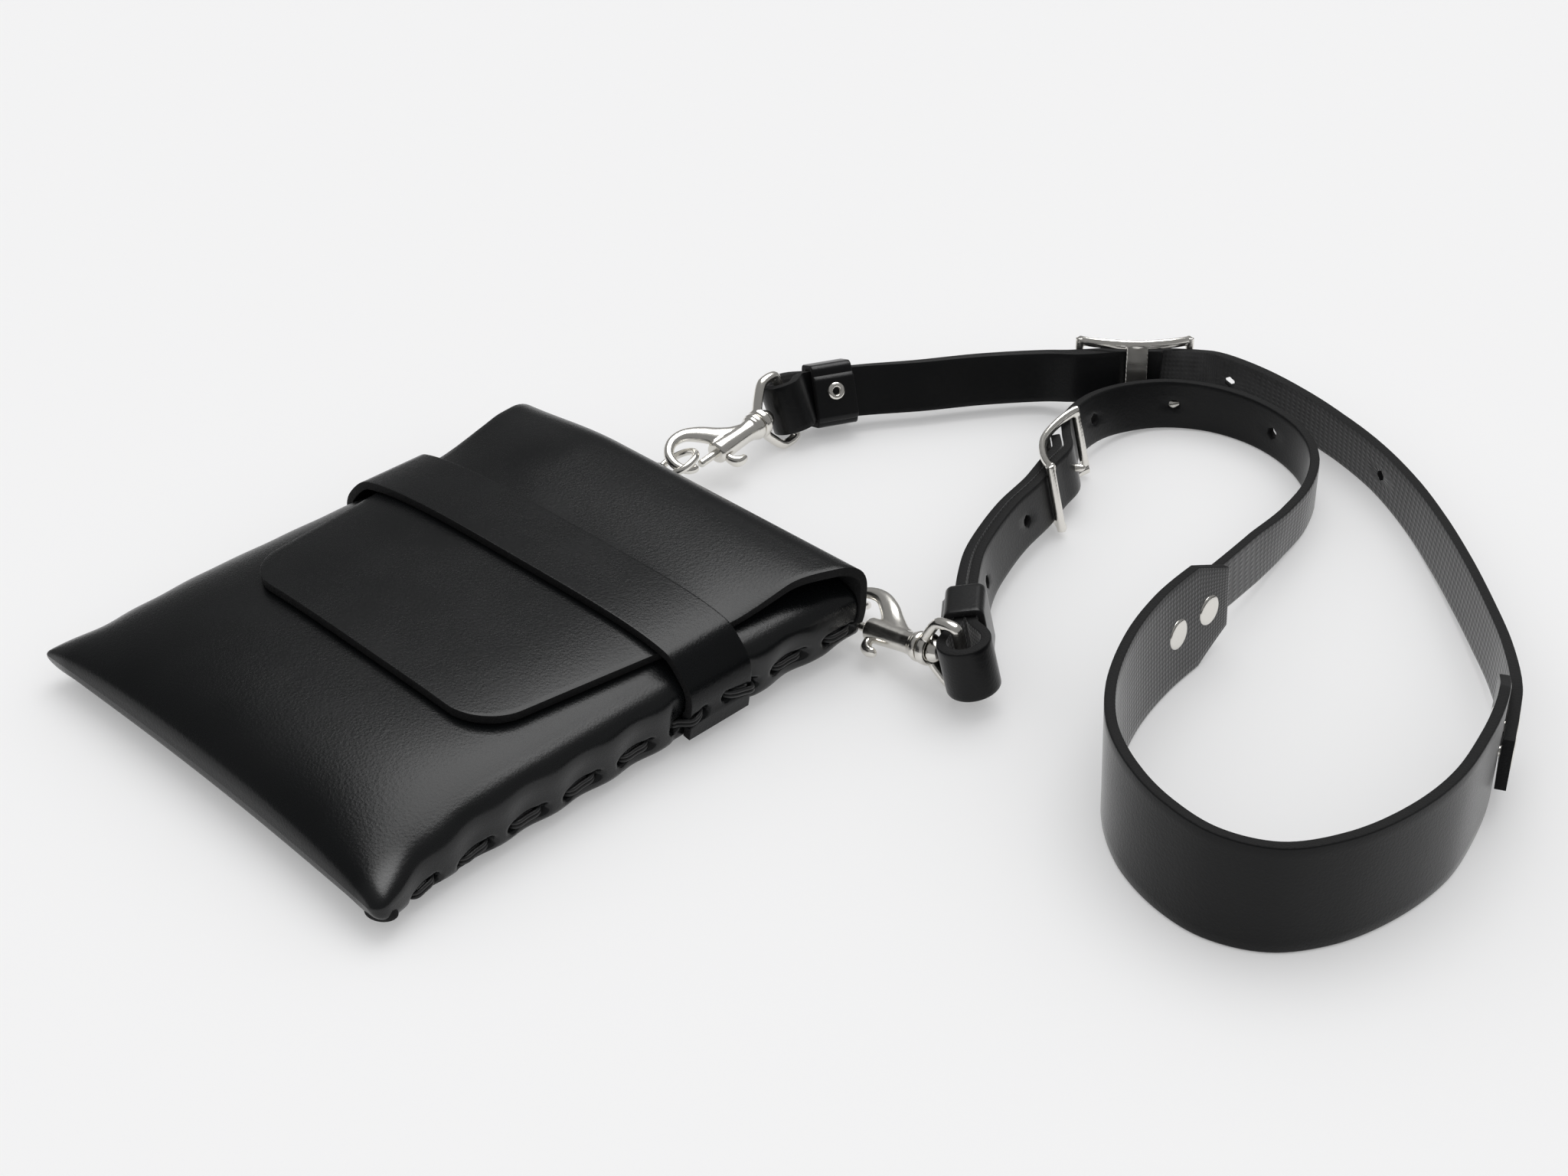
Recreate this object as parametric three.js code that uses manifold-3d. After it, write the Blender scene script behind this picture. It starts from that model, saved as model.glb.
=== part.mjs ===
// Leather shoulder pouch with a flap, a closing band and an adjustable shoulder strap.
// It lies on its back as on a table: millimetres, +Z up, X across the pouch, +Y towards its mouth.
// The origin is on the table, under the middle of the flat back.
import * as THREE from 'three';
import { mergeVertices } from 'three/addons/utils/BufferGeometryUtils.js';
import Module from 'manifold-3d';

const wasm = await Module();
wasm.setup();

// Leather and clearances
const GAP = 0.3;
const WALL = 2.6;
const STRAP_THICK = 3.0;
const STRAP_WIDTH = 16;
const LAYER = STRAP_THICK + 0.5;
const PAD_WIDTH = 32;
const PAD_CLIP = { length: 14.5, height: 6.5 };
const HOLE_DIAMETER = 3.6;

// Pouch shell
const BOTTOM_Y = -84.5;
const MOUTH_Y = 81;
const BOTTOM_EDGE_Z = 9.5;
const BOTTOM_HOLLOW = 2;
const BOTTOM_LIP = 1.6;
const FRONT_Z = 25.4;
const SEAM_Z = 6;
const SIDE_X = 72;
const CORNER_FLARE = 3.6;
const MOUTH_FLARE = 1.5;
const FRONT_RISE = 48;
const BACK_RISE = 34;
const TOP_LIFT = { height: 4.4, start: 34, end: 69.5 };
// Inside the fold the mouth narrows: its back and seam rise, its front sinks.
const FOLD_ENTRY = 75.6;
const MOUTH_RISE = { entry: 3.6, end: 2.1, seam: 5.5 };
const MOUTH_SINK = 1.9;
const SHOULDER = { left: 3.1, right: 5 };

// Flap and closing band
const FLAP_END_Y = -35;
const FLAP_END_HALF = { left: 49.5, right: 54.3 };
const FLAP_TOP_HALF = { left: 64.5, right: 67.3 };
const FLAP_FOLD_HALF = { left: 66, right: 74 };
const FOLD_DROOP = 4.5;
const FOLD_SKEW = Math.tan(THREE.MathUtils.degToRad(1));
const FLAP_CORNER = 13;
const FOLD_Y = 86;
const FOLD_TOP_Z = 31;
const FOLD_BACK_Z = 4.8;
const BAND_Y = 29.1;
const BAND_HALF = 11;
const BAND_SKEW = Math.tan(THREE.MathUtils.degToRad(1.4));
const BAND_END_Z = 3.2;
const BAND_STEP = { left: 65, right: 69 };

// Rings, tabs and snaps
const RING_RADIUS = 6.6;
const RING_WIRE = 1.25;
const TAB_WIDTH = 4.4;
const TAB_ROOM = 1.2;
const TAB_THICK = 1.3;
const EYE_WIRE = 1.6;
const EYE_HALF = STRAP_WIDTH / 2 + 1.4 + EYE_WIRE;
const EYE_DEPTH = 13;
const EYE_BASE = { radius: 4.6, half: 1.5, bore: 2.1 };
const EYE_SHOULDER = 6;
const BARREL_RADIUS = 3.6;
const BARREL_END = 22;
const BOLT_RADIUS = 1.3;
const BOLT_BORE = 1.7;
const BOLT_START = 15;
const BOLT_NECK = 1.2;
const KNOB_AT = 19.5;
const KNOB_OUT = 6.4;
const KNOB_SIZE = { along: 3.2, across: 1.9 };
const BOLT_END = 29.4;
const BOLT_TRAVEL = 7;
const HOOK_WIRE = 1.9;
// Middle line of the hook: place along the snap's axis, and side of it.
const HOOK_ARM = [
  [11, -1.2], [15, -4], [20, -8.6], [25.5, -11.2], [31, -11], [35.2, -8], [36, -3.6], [33.6, -0.4], [30, 0.3],
];
const LOOP_RADIUS = 6;
const LOOP_SLACK = 1.8;
const LOOP_TURN = [-105, -75, -45, -15, 15, 45, 75, 105];

// Buckles, keepers and rivets
const BUCKLE_LENGTH = 36;
const BUCKLE_HALF = 10.4;
const BUCKLE_ARCH = 6;
const BUCKLE_WIRE = 1.4;
const MIDDLE_BAR = 7;
const PRONG_TIP = 5.4;
const KEEPER_WIDTH = 13.5;
const KEEPER_WALL = 1.9;
const TUBE_RIVET = { radius: 2.9, thick: 1.6, hole: 1.2 };
const RIVET_CAP = { radius: 4.5, thick: 1.1 };
const RIVET_BORE = 1.8;
// Rivets at the pad's two ends, and where a strap's end lies on each:
// distances from the pad's end, and how far the strap stands off the pad's face.
const PAD_RIVETS = [[9.5, 25], [9.5, 20.5]];
const PAD_STAND = 0.4;
const PAD_SEAT_ROWS = [
  [
    { fromEnd: 30.5, stand: 0.9 },
    { fromEnd: 24, stand: PAD_STAND },
    { fromEnd: 12, stand: PAD_STAND },
    { fromEnd: 2, stand: PAD_STAND },
  ],
  [
    { fromEnd: 26, stand: 0.9 },
    { fromEnd: 19.5, stand: PAD_STAND },
    { fromEnd: 11, stand: PAD_STAND },
    { fromEnd: 2, stand: PAD_STAND },
  ],
];

// The pad and the straps stand on edge. A row gives the middle of one section:
// x and y, the lift of its lower edge off the table, and the lean of its top to the left of the way along.
const PAD_ROUTE = [
  { x: 142.4, y: 160.4, lift: 0.3, lean: -4 },
  { x: 142.9, y: 146, lift: 0.3, lean: -6 },
  { x: 144.6, y: 129, lift: 0.3, lean: -6 },
  { x: 149.5, y: 109.5, lift: 0.3, lean: -5 },
  { x: 158.9, y: 89, lift: 0.3, lean: -4 },
  { x: 170, y: 74.5, lift: 0.3, lean: -2 },
  { x: 184, y: 64.5, lift: 0.3, lean: 1 },
  { x: 199, y: 59.4, lift: 0.3, lean: 2 },
  { x: 213, y: 59, lift: 0.3, lean: 2 },
  { x: 226.5, y: 65.4, lift: 0.3, lean: 2 },
  { x: 235.8, y: 79, lift: 0.3, lean: 3 },
  { x: 241, y: 97, lift: 0.3, lean: 3 },
  { x: 242, y: 117, lift: 0.3, lean: 3 },
  { x: 238, y: 137, lift: 0.3, lean: 2 },
  { x: 233.4, y: 151, lift: 0.3, lean: 1 },
  { x: 228.4, y: 161.5, lift: 0.3, lean: 0 },
  { x: 223.7, y: 170.2, lift: 0.3, lean: 0 },
];
const RIGHT_STRAP_SINGLE = [
  { x: 133.6, y: 187.8, lift: 4, lean: 6 },
  { x: 129.8, y: 207, lift: 1.5, lean: 0 },
  { x: 124.6, y: 227, lift: 0.3, lean: 0 },
  { x: 116, y: 243, lift: 0.3, lean: 2 },
  { x: 103, y: 252.8, lift: 0.3, lean: -2 },
  { x: 86, y: 257, lift: 0.3, lean: -3 },
  { x: 70, y: 254.5, lift: 0.3, lean: -5 },
  { x: 57, y: 245.5, lift: 0.7, lean: -11 },
  { x: 50, y: 232.5, lift: 1.5, lean: -14 },
  { x: 49.3, y: 217, lift: 3.6, lean: -13 },
];
const RIGHT_STRAP_DOUBLE = [
  { x: 73, y: 151, lift: 5, lean: -14 },
  { x: 78.2, y: 137.6, lift: 4.8, lean: -14 },
  { x: 84.4, y: 125.6, lift: 4.8, lean: -14 },
  { x: 91.4, y: 114.6, lift: 5, lean: -13 },
  { x: 100.8, y: 102.4, lift: 5.4, lean: -12 },
  { x: 105.4, y: 97.2, lift: 5.5, lean: -12 },
];
const LEFT_STRAP_SINGLE = [
  { x: 213, y: 190, lift: 5, lean: -2 },
  { x: 198, y: 206, lift: 3, lean: -4 },
  { x: 183.2, y: 220.2, lift: 2, lean: -5 },
  { x: 166, y: 235.4, lift: 1, lean: -4 },
  { x: 147.8, y: 249.4, lift: 0.3, lean: -1 },
  { x: 128, y: 260.8, lift: 0.3, lean: 4 },
  { x: 109, y: 268, lift: 0.3, lean: 6 },
  { x: 91, y: 271.8, lift: 0.7, lean: 4 },
  { x: 74, y: 271.5, lift: 2, lean: 0 },
  { x: 61, y: 267.5, lift: 3.5, lean: -6 },
];
const LEFT_STRAP_DOUBLE = [
  { x: 19.8, y: 229.6, lift: 4.2, lean: -17 },
  { x: 6.3, y: 213.1, lift: 4.2, lean: -19 },
  { x: -5.5, y: 195.1, lift: 4.2, lean: -21 },
  { x: -15.5, y: 180.8, lift: 4.2, lean: -23 },
  { x: -21.3, y: 169.5, lift: 4.4, lean: -25 },
  { x: -24.8, y: 161.9, lift: 4.7, lean: -25 },
];

// Each side of the strap: where its buckle sits, which side the doubled end lies on, and its snap.
// heading is the way from the pad to the snap in the buckle, in degrees from +X.
const SIDES = {
  right: {
    single: RIGHT_STRAP_SINGLE, double: RIGHT_STRAP_DOUBLE, doubled: -1, padEnd: 0, keeperRow: 4,
    buckle: { x: 65.3, y: 186, lift: 5.4, lean: -13, heading: -62.6 },
    holes: [
      { x: 49.2, y: 217 }, { x: 61, y: 248 }, { x: 91.6, y: 256 }, { x: 73, y: 154 }, { x: 88, y: 122.8 },
    ],
    snap: { x: 96.6, y: 87.4, z: 11.3, heading: 181, dip: 10.4, roll: 24 },
    ring: { x: 60, y: 92.6, z: 6.2, heading: 219, dip: -3, roll: 30 },
    tab: { x: 38, y: 67, z: 2 },
  },
  left: {
    single: LEFT_STRAP_SINGLE, double: LEFT_STRAP_DOUBLE, doubled: 1, padEnd: 1, keeperRow: 4,
    buckle: { x: 40.4, y: 250, lift: 4.2, lean: -14, heading: -135 },
    holes: [{ x: 66.5, y: 270 }, { x: 131, y: 258 }],
    snap: { x: -23.2, y: 140.4, z: 11.5, heading: -84, dip: 3, roll: 25 },
    ring: { x: -24.2, y: 105.4, z: 10.9, heading: -119, dip: 25, roll: 13 },
    tab: { x: -44, y: 66, z: 2 },
  },
};

// Finishes
const leather = new THREE.MeshStandardMaterial({ color: 0x17181a, roughness: 0.42, metalness: 0 });
const strapLeather = new THREE.MeshStandardMaterial({ color: 0x1a1b1c, roughness: 0.55, metalness: 0 });
const nickel = new THREE.MeshStandardMaterial({ color: 0xd2cdc2, roughness: 0.18, metalness: 1 });

const model = new THREE.Group();
const { degToRad, lerp, smoothstep, clamp } = THREE.MathUtils;

// Mesh helpers

function addPiece(name, geometry, material) {
  const mesh = new THREE.Mesh(geometry, material);
  mesh.name = name;
  model.add(mesh);
  return mesh;
}

function toSolid(geometry) {
  const bare = geometry.clone();
  bare.deleteAttribute('normal');
  bare.deleteAttribute('uv');
  const merged = mergeVertices(bare, 1e-4);
  const mesh = new wasm.Mesh({
    numProp: 3,
    vertProperties: new Float32Array(merged.attributes.position.array),
    triVerts: new Uint32Array(merged.index.array),
  });
  return new wasm.Manifold(mesh);
}

function toGeometry(solid) {
  const { vertProperties, triVerts } = solid.getMesh();
  const geometry = new THREE.BufferGeometry();
  geometry.setAttribute('position', new THREE.BufferAttribute(vertProperties, 3));
  geometry.setIndex(new THREE.BufferAttribute(triVerts, 1));
  return geometry;
}

function union(geometries) {
  return geometries.map(toSolid).reduce((whole, part) => whole.add(part));
}

// Joins rings of equal length into a closed skin; an end is closed by pairing its ring's two halves.
function loft(rings) {
  const count = rings[0].length;
  const points = rings.flat();
  const faces = [];
  for (let r = 0; r + 1 < rings.length; r += 1) {
    for (let k = 0; k < count; k += 1) {
      const a = r * count + k;
      const b = r * count + ((k + 1) % count);
      faces.push([a, b, b + count], [a, b + count, a + count]);
    }
  }
  const last = (rings.length - 1) * count;
  for (let k = 0; k < count / 2 - 1; k += 1) {
    const far = count - 1 - k;
    faces.push([k, far, far - 1], [k, far - 1, k + 1]);
    faces.push([last + k, last + far - 1, last + far], [last + k, last + k + 1, last + far - 1]);
  }
  const volume = faces.reduce((sum, [a, b, c]) => (
    sum + points[a].dot(points[b].clone().cross(points[c]))
  ), 0);
  const outward = volume > 0 ? faces : faces.map(([a, b, c]) => [a, c, b]);
  const geometry = new THREE.BufferGeometry().setFromPoints(points);
  geometry.setIndex(outward.flat());
  return geometry;
}

// A round bar along a path of points, closed at both ends.
function bar(points, radius, sides = 8, steps = 0) {
  const curve = steps ? new THREE.CatmullRomCurve3(points) : new THREE.CurvePath();
  if (!steps) {
    points.slice(1).forEach((point, i) => curve.add(new THREE.LineCurve3(points[i], point)));
  }
  const shape = new THREE.Shape();
  for (let k = 0; k < sides; k += 1) {
    const angle = ((k + 0.5) / sides) * 2 * Math.PI;
    const x = radius * Math.cos(angle);
    const y = radius * Math.sin(angle);
    if (k === 0) shape.moveTo(x, y);
    else shape.lineTo(x, y);
  }
  shape.closePath();
  return new THREE.ExtrudeGeometry(shape, {
    steps: steps || points.length - 1, bevelEnabled: false, extrudePath: curve,
  });
}

function placed(geometry, matrix) {
  return geometry.clone().applyMatrix4(matrix);
}

// Pouch shell

function bottomShare(y, reach) {
  return clamp((y - BOTTOM_Y) / reach, 0, 1);
}

function roundRise(share, power) {
  return (1 - (1 - share) ** power) ** (1 / power);
}

function sideX(y) {
  const corner = CORNER_FLARE * (1 - bottomShare(y, 40)) ** 2;
  return SIDE_X + corner + MOUTH_FLARE * smoothstep(y, 20, MOUTH_Y);
}

// One section across the pouch: y, half width, and the heights of front, seam and back.
function section(y, inset) {
  const start = BOTTOM_Y + inset;
  const front = roundRise(clamp((y - start) / FRONT_RISE, 0, 1), 2.1);
  const back = roundRise(clamp((y - start) / BACK_RISE, 0, 1), 2);
  const intoFold = clamp((y - FOLD_ENTRY) / (MOUTH_Y - FOLD_ENTRY), 0, 1) ** 2;
  const lift = TOP_LIFT.height * smoothstep(y, TOP_LIFT.start, TOP_LIFT.end)
    + MOUTH_RISE.entry * smoothstep(y, TOP_LIFT.end, FOLD_ENTRY) + MOUTH_RISE.end * intoFold;
  const edge = BOTTOM_EDGE_Z;
  const half = inset ? 0.15 : BOTTOM_LIP;
  return {
    y,
    halfWidth: sideX(y) - inset,
    frontZ: lerp(edge + half, FRONT_Z - inset, front) - MOUTH_SINK * intoFold,
    seamZ: lerp(edge, SEAM_Z + 2, smoothstep(y, BOTTOM_Y, BOTTOM_Y + 50))
      + MOUTH_RISE.seam * smoothstep(y, TOP_LIFT.end, MOUTH_Y),
    backZ: lerp(edge - half, inset + lift, back),
    fullness: smoothstep(y, BOTTOM_Y, BOTTOM_Y + 55),
  };
}

// How square the section's shoulder is on one side.
function shoulder(s, side) {
  return lerp(2.4, side < 0 ? SHOULDER.left : SHOULDER.right, s.fullness);
}

function sectionPoint(s, angle) {
  const up = Math.sin(angle) >= 0;
  const power = up ? shoulder(s, Math.cos(angle)) : 4;
  const across = Math.sign(Math.cos(angle)) * Math.abs(Math.cos(angle)) ** (2 / power);
  const height = Math.abs(Math.sin(angle)) ** (2 / power);
  const z = up ? lerp(s.seamZ, s.frontZ, height) : lerp(s.seamZ, s.backZ, height);
  const hollow = BOTTOM_HOLLOW * (1 - across * across) * (1 - bottomShare(s.y, 40)) ** 2;
  return new THREE.Vector3(s.halfWidth * across, s.y + hollow, z);
}

function frontHeight(x, y, inset = 0) {
  const s = section(y, inset);
  const share = clamp(Math.abs(x) / s.halfWidth, 0, 1);
  const power = shoulder(s, x);
  return lerp(s.seamZ, s.frontZ, (1 - share ** power) ** (1 / power));
}

function shellRings(inset) {
  const sides = 32;
  const stations = 10;
  const places = [];
  for (let i = 0; i <= stations; i += 1) {
    places.push(lerp(BOTTOM_Y + inset, TOP_LIFT.end, (i / stations) ** 1.7));
  }
  return [...places, FOLD_ENTRY, MOUTH_Y].map((y) => {
    const s = section(y, inset);
    const ring = [];
    for (let k = 0; k < sides; k += 1) {
      ring.push(sectionPoint(s, ((k + 0.5) / sides) * 2 * Math.PI));
    }
    return ring;
  });
}

function pouchShell() {
  const outer = shellRings(0);
  const inner = shellRings(WALL);
  return loft([...outer, ...inner.reverse()]);
}

// Flap: runs up from the back, folds over the mouth and lies on the front under the band

function flapPath() {
  const lowRadius = 10;
  const topRadius = 10;
  const low = new THREE.Vector2(FOLD_Y - lowRadius, FOLD_BACK_Z + lowRadius);
  const top = new THREE.Vector2(FOLD_Y - topRadius, FOLD_TOP_Z - topRadius);
  const path = [];
  for (let k = 0; k <= 4; k += 1) {
    const angle = lerp(-Math.PI / 2, 0, k / 4);
    path.push({ y: low.x + lowRadius * Math.cos(angle), z: low.y + lowRadius * Math.sin(angle), angle });
  }
  for (let k = 0; k <= 4; k += 1) {
    const angle = lerp(0, Math.PI / 2, k / 4);
    path.push({ y: top.x + topRadius * Math.cos(angle), z: top.y + topRadius * Math.sin(angle), angle });
  }
  const front = [68, 60, 52, 44, 36, 28, 12, -4, FLAP_END_Y + FLAP_CORNER];
  const corner = [0.62, 0.3, 0.08, 0].map((share) => FLAP_END_Y + FLAP_CORNER * share);
  [...front, ...corner].forEach((y) => path.push({ y, z: null, angle: Math.PI / 2 }));
  return path;
}

function flapHalf(y, side) {
  const edge = side < 0 ? 'left' : 'right';
  const straight = lerp(FLAP_END_HALF[edge], FLAP_TOP_HALF[edge], clamp((y - FLAP_END_Y) / 105, 0, 1));
  const flared = lerp(straight, FLAP_FOLD_HALF[edge], smoothstep(y, 62, FOLD_Y - 2));
  const intoCorner = clamp((FLAP_END_Y + FLAP_CORNER - y) / FLAP_CORNER, 0, 1);
  return flared - FLAP_CORNER * (1 - Math.sqrt(1 - intoCorner ** 2));
}

// The fold sinks towards its left end.
function foldDroop(x) {
  return FOLD_DROOP * smoothstep(-x, 25, 75);
}

// Height of the flap's lower face: pressed on the front below the band, standing off it near the fold.
function flapUnder(x, y) {
  const resting = frontHeight(x, y) + 2 * GAP;
  const lifted = FOLD_TOP_Z - WALL - foldDroop(x);
  return Math.max(resting, lerp(resting, lifted, smoothstep(y, BAND_Y + BAND_HALF, 72)));
}

function flapSolid() {
  const columns = 8;
  const rings = flapPath().map((row) => {
    const outer = [];
    const inner = [];
    for (let k = 0; k <= columns; k += 1) {
      const side = Math.sin(lerp(-1, 1, k / columns) * (Math.PI / 2));
      const x = flapHalf(row.y, side) * side;
      if (row.z === null) {
        const z = flapUnder(x, row.y);
        const y = row.y + FOLD_SKEW * x * smoothstep(row.y, BAND_Y, 72);
        outer.push(new THREE.Vector3(x, y, z + WALL));
        inner.push(new THREE.Vector3(x, y, z));
      } else {
        const inward = new THREE.Vector3(0, -Math.cos(row.angle), -Math.sin(row.angle));
        const height = (row.z - FOLD_BACK_Z) / (FOLD_TOP_Z - FOLD_BACK_Z);
        const point = new THREE.Vector3(x, row.y + FOLD_SKEW * x * height, row.z - foldDroop(x) * height);
        outer.push(point);
        inner.push(point.clone().addScaledVector(inward, WALL));
      }
    }
    return [...outer, ...inner.reverse()];
  });
  return loft(rings);
}

// Closing band: over the flap and down both side walls

function bandSolid() {
  const thick = 2.4;
  const s = section(BAND_Y, 0);
  const steps = 40;
  const startAngle = -0.02;
  const rings = [];
  for (let k = 0; k <= steps; k += 1) {
    const angle = lerp(startAngle, Math.PI - startAngle, k / steps);
    const here = sectionPoint(s, angle);
    const ahead = sectionPoint(s, angle + 0.01);
    const behind = sectionPoint(s, angle - 0.01);
    const normal = new THREE.Vector3(ahead.z - behind.z, 0, behind.x - ahead.x).normalize();
    const step = here.x < 0 ? BAND_STEP.left : BAND_STEP.right;
    const overFlap = smoothstep(step - Math.abs(here.x), 0, 4);
    const offset = 2 * GAP + overFlap * (WALL + GAP);
    const low = here.clone().addScaledVector(normal, offset);
    const high = low.clone().addScaledVector(normal, thick);
    const shift = BAND_SKEW * here.x;
    const ring = [];
    [[low, -1], [low, 1], [high, 1], [high, -1]].forEach(([point, side]) => {
      ring.push(new THREE.Vector3(point.x, BAND_Y + shift + side * BAND_HALF, point.z));
    });
    rings.push(ring);
  }
  [rings[0], rings[steps]].forEach((ring, end) => {
    const foot = ring.map((p) => new THREE.Vector3(p.x, p.y, BAND_END_Z));
    if (end === 0) rings.unshift(foot);
    else rings.push(foot);
  });
  return loft(rings);
}

// Straps and pad: strips that stand on edge along a route

// Shifts a route along its face's normal, row by row.
function beside(route, distance) {
  return route.map((row, i) => {
    const before = route[Math.max(i - 1, 0)];
    const after = route[Math.min(i + 1, route.length - 1)];
    const left = new THREE.Vector2(before.y - after.y, after.x - before.x).normalize();
    const level = distance * Math.cos(degToRad(row.lean));
    const lift = row.lift - distance * Math.sin(degToRad(row.lean));
    return { ...row, x: row.x + left.x * level, y: row.y + left.y * level, lift };
  });
}

// The direction from a strap's lower to its upper edge, for a way along and a lean in degrees.
function upright(along, lean) {
  const left = new THREE.Vector3(-along.y, along.x, 0).normalize();
  return left.multiplyScalar(Math.sin(degToRad(lean))).setZ(Math.cos(degToRad(lean)));
}

// The normal of a standing strap's left face.
function leftFace(along, up) {
  return up.clone().cross(along).normalize();
}

// Samples a smooth route a few times between its rows. A row may give its own up direction.
function sampleRoute(route, width, perRow) {
  const middle = route.map((row) => {
    const rise = (width / 2) * Math.cos(degToRad(row.lean));
    return new THREE.Vector3(row.x, row.y, row.lift + rise);
  });
  const curve = new THREE.CatmullRomCurve3(middle, false, 'centripetal');
  const last = route.length - 1;
  const ups = route.map((row, i) => row.up ?? upright(curve.getTangent(i / last), row.lean));
  const samples = [];
  let distance = 0;
  for (let k = 0; k <= last * perRow; k += 1) {
    const share = k / (last * perRow);
    const row = Math.min(Math.floor(k / perRow), last - 1);
    const mix = k / perRow - row;
    const point = curve.getPoint(share);
    const along = curve.getTangent(share).setZ(0).normalize();
    const up = ups[row].clone().lerp(ups[row + 1], mix).normalize();
    const lean = lerp(route[row].lean, route[row + 1].lean, mix);
    if (k > 0) distance += point.distanceTo(samples[k - 1].point);
    samples.push({ point, along, up, normal: leftFace(along, up), lean, distance });
  }
  return samples;
}

// A strip of leather on edge; clipLength and clipHeight cut the corners off both ends.
function strip(samples, width, clipLength = 1, clipHeight = 0) {
  const total = samples.at(-1).distance;
  const thick = STRAP_THICK / 2;
  return loft(samples.map(({ point, up, normal, distance }) => {
    const fromEnd = Math.min(distance, total - distance);
    const half = width / 2 - clipHeight * Math.max(0, 1 - fromEnd / clipLength);
    return [[half, thick], [half, -thick], [-half, -thick], [-half, thick]].map(([u, n]) => (
      point.clone().addScaledVector(up, u).addScaledVector(normal, n)
    ));
  }));
}

function sampleAt(samples, distance) {
  const next = Math.max(1, samples.findIndex((s) => s.distance >= distance));
  const [a, b] = [samples[next - 1], samples[next]];
  const mix = (distance - a.distance) / (b.distance - a.distance);
  const along = a.along.clone().lerp(b.along, mix).normalize();
  const up = a.up.clone().lerp(b.up, mix).normalize();
  const point = a.point.clone().lerp(b.point, mix);
  return { point, along, up, normal: leftFace(along, up), lean: lerp(a.lean, b.lean, mix) };
}

// A frame whose X runs along the strap, Y is the normal of its left face and Z crosses its width.
function strapFrame({ point, along, up, normal }) {
  return new THREE.Matrix4().makeBasis(along, normal, up).setPosition(point);
}

function drill(frame, radius, length) {
  return toSolid(placed(new THREE.CylinderGeometry(radius, radius, length, 8), frame));
}

const padSamples = sampleRoute(PAD_ROUTE, PAD_WIDTH, 3);
const padLength = padSamples.at(-1).distance;

function padAt(end, fromEnd) {
  return sampleAt(padSamples, end === 0 ? fromEnd : padLength - fromEnd);
}

// The strap's end lies on the pad's outer face, its tail a little further off.
function padRows(end) {
  return PAD_SEAT_ROWS[end].map(({ fromEnd, stand }) => {
    const at = padAt(end, fromEnd);
    const spot = at.point.clone().addScaledVector(at.normal, -(STRAP_THICK + stand));
    const lean = end === 0 ? -at.lean : at.lean;
    const lift = spot.z - (STRAP_WIDTH / 2) * Math.cos(degToRad(lean));
    return { x: spot.x, y: spot.y, lift, lean };
  });
}

// The buckle's frame: X along its length, Y from its middle bar to its end bars, Z across the strap.
function buckleFrame({ x, y, lift, lean, heading }, doubled) {
  const along = new THREE.Vector3(Math.cos(degToRad(heading)), Math.sin(degToRad(heading)), 0);
  const up = upright(along, lean);
  const normal = leftFace(along, up);
  const point = new THREE.Vector3(x, y, lift + (STRAP_WIDTH / 2) * Math.cos(degToRad(lean)));
  return new THREE.Matrix4()
    .makeBasis(along.multiplyScalar(-doubled), normal.multiplyScalar(-doubled), up)
    .setPosition(point);
}

// Rows through the buckle: in front of its end bars and behind its middle bar.
function buckleRows(buckle, doubled) {
  const frame = buckleFrame(buckle, doubled);
  const reach = BUCKLE_LENGTH / 2;
  const atBars = -(BUCKLE_WIRE + 2 * GAP + STRAP_THICK / 2);
  const atMiddle = -BUCKLE_ARCH + BUCKLE_WIRE + 2 * GAP + LAYER + STRAP_THICK / 2;
  return [-1.1, -0.5, 0, 0.5, 1.1].map((share) => {
    const bulge = Math.max(0, Math.cos((share * Math.PI) / 2)) ** 2;
    const place = -doubled * share * reach;
    const spot = new THREE.Vector3(place, lerp(atBars, atMiddle, bulge), 0).applyMatrix4(frame);
    const lift = spot.z - (STRAP_WIDTH / 2) * Math.cos(degToRad(buckle.lean));
    return { x: spot.x, y: spot.y, lift, lean: buckle.lean };
  });
}

// The snap's frame: X towards its hook, Y to the side of its bolt, Z up; the bolt's side dips by roll.
function snapFrame({ x, y, z, heading, dip, roll }) {
  const turn = new THREE.Matrix4().makeRotationZ(degToRad(heading));
  turn.multiply(new THREE.Matrix4().makeRotationY(degToRad(dip)));
  turn.multiply(new THREE.Matrix4().makeRotationX(degToRad(-roll)));
  return turn.setPosition(x, y, z);
}

// The same row for a strap that runs the other way.
function turnedRow(row) {
  return { ...row, lean: -row.lean };
}

// The snap's axis and the direction of its eye's bar, which stands as the strap does.
function eyeAxes(side) {
  const last = side.double.at(-1);
  const before = side.double.at(-2);
  const along = new THREE.Vector3(last.x - before.x, last.y - before.y, 0).normalize();
  const axis = new THREE.Vector3().setFromMatrixColumn(snapFrame(side.snap), 0);
  const across = upright(along, last.lean).cross(axis).normalize();
  return { along, axis, across, high: axis.clone().cross(across).normalize() };
}

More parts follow.
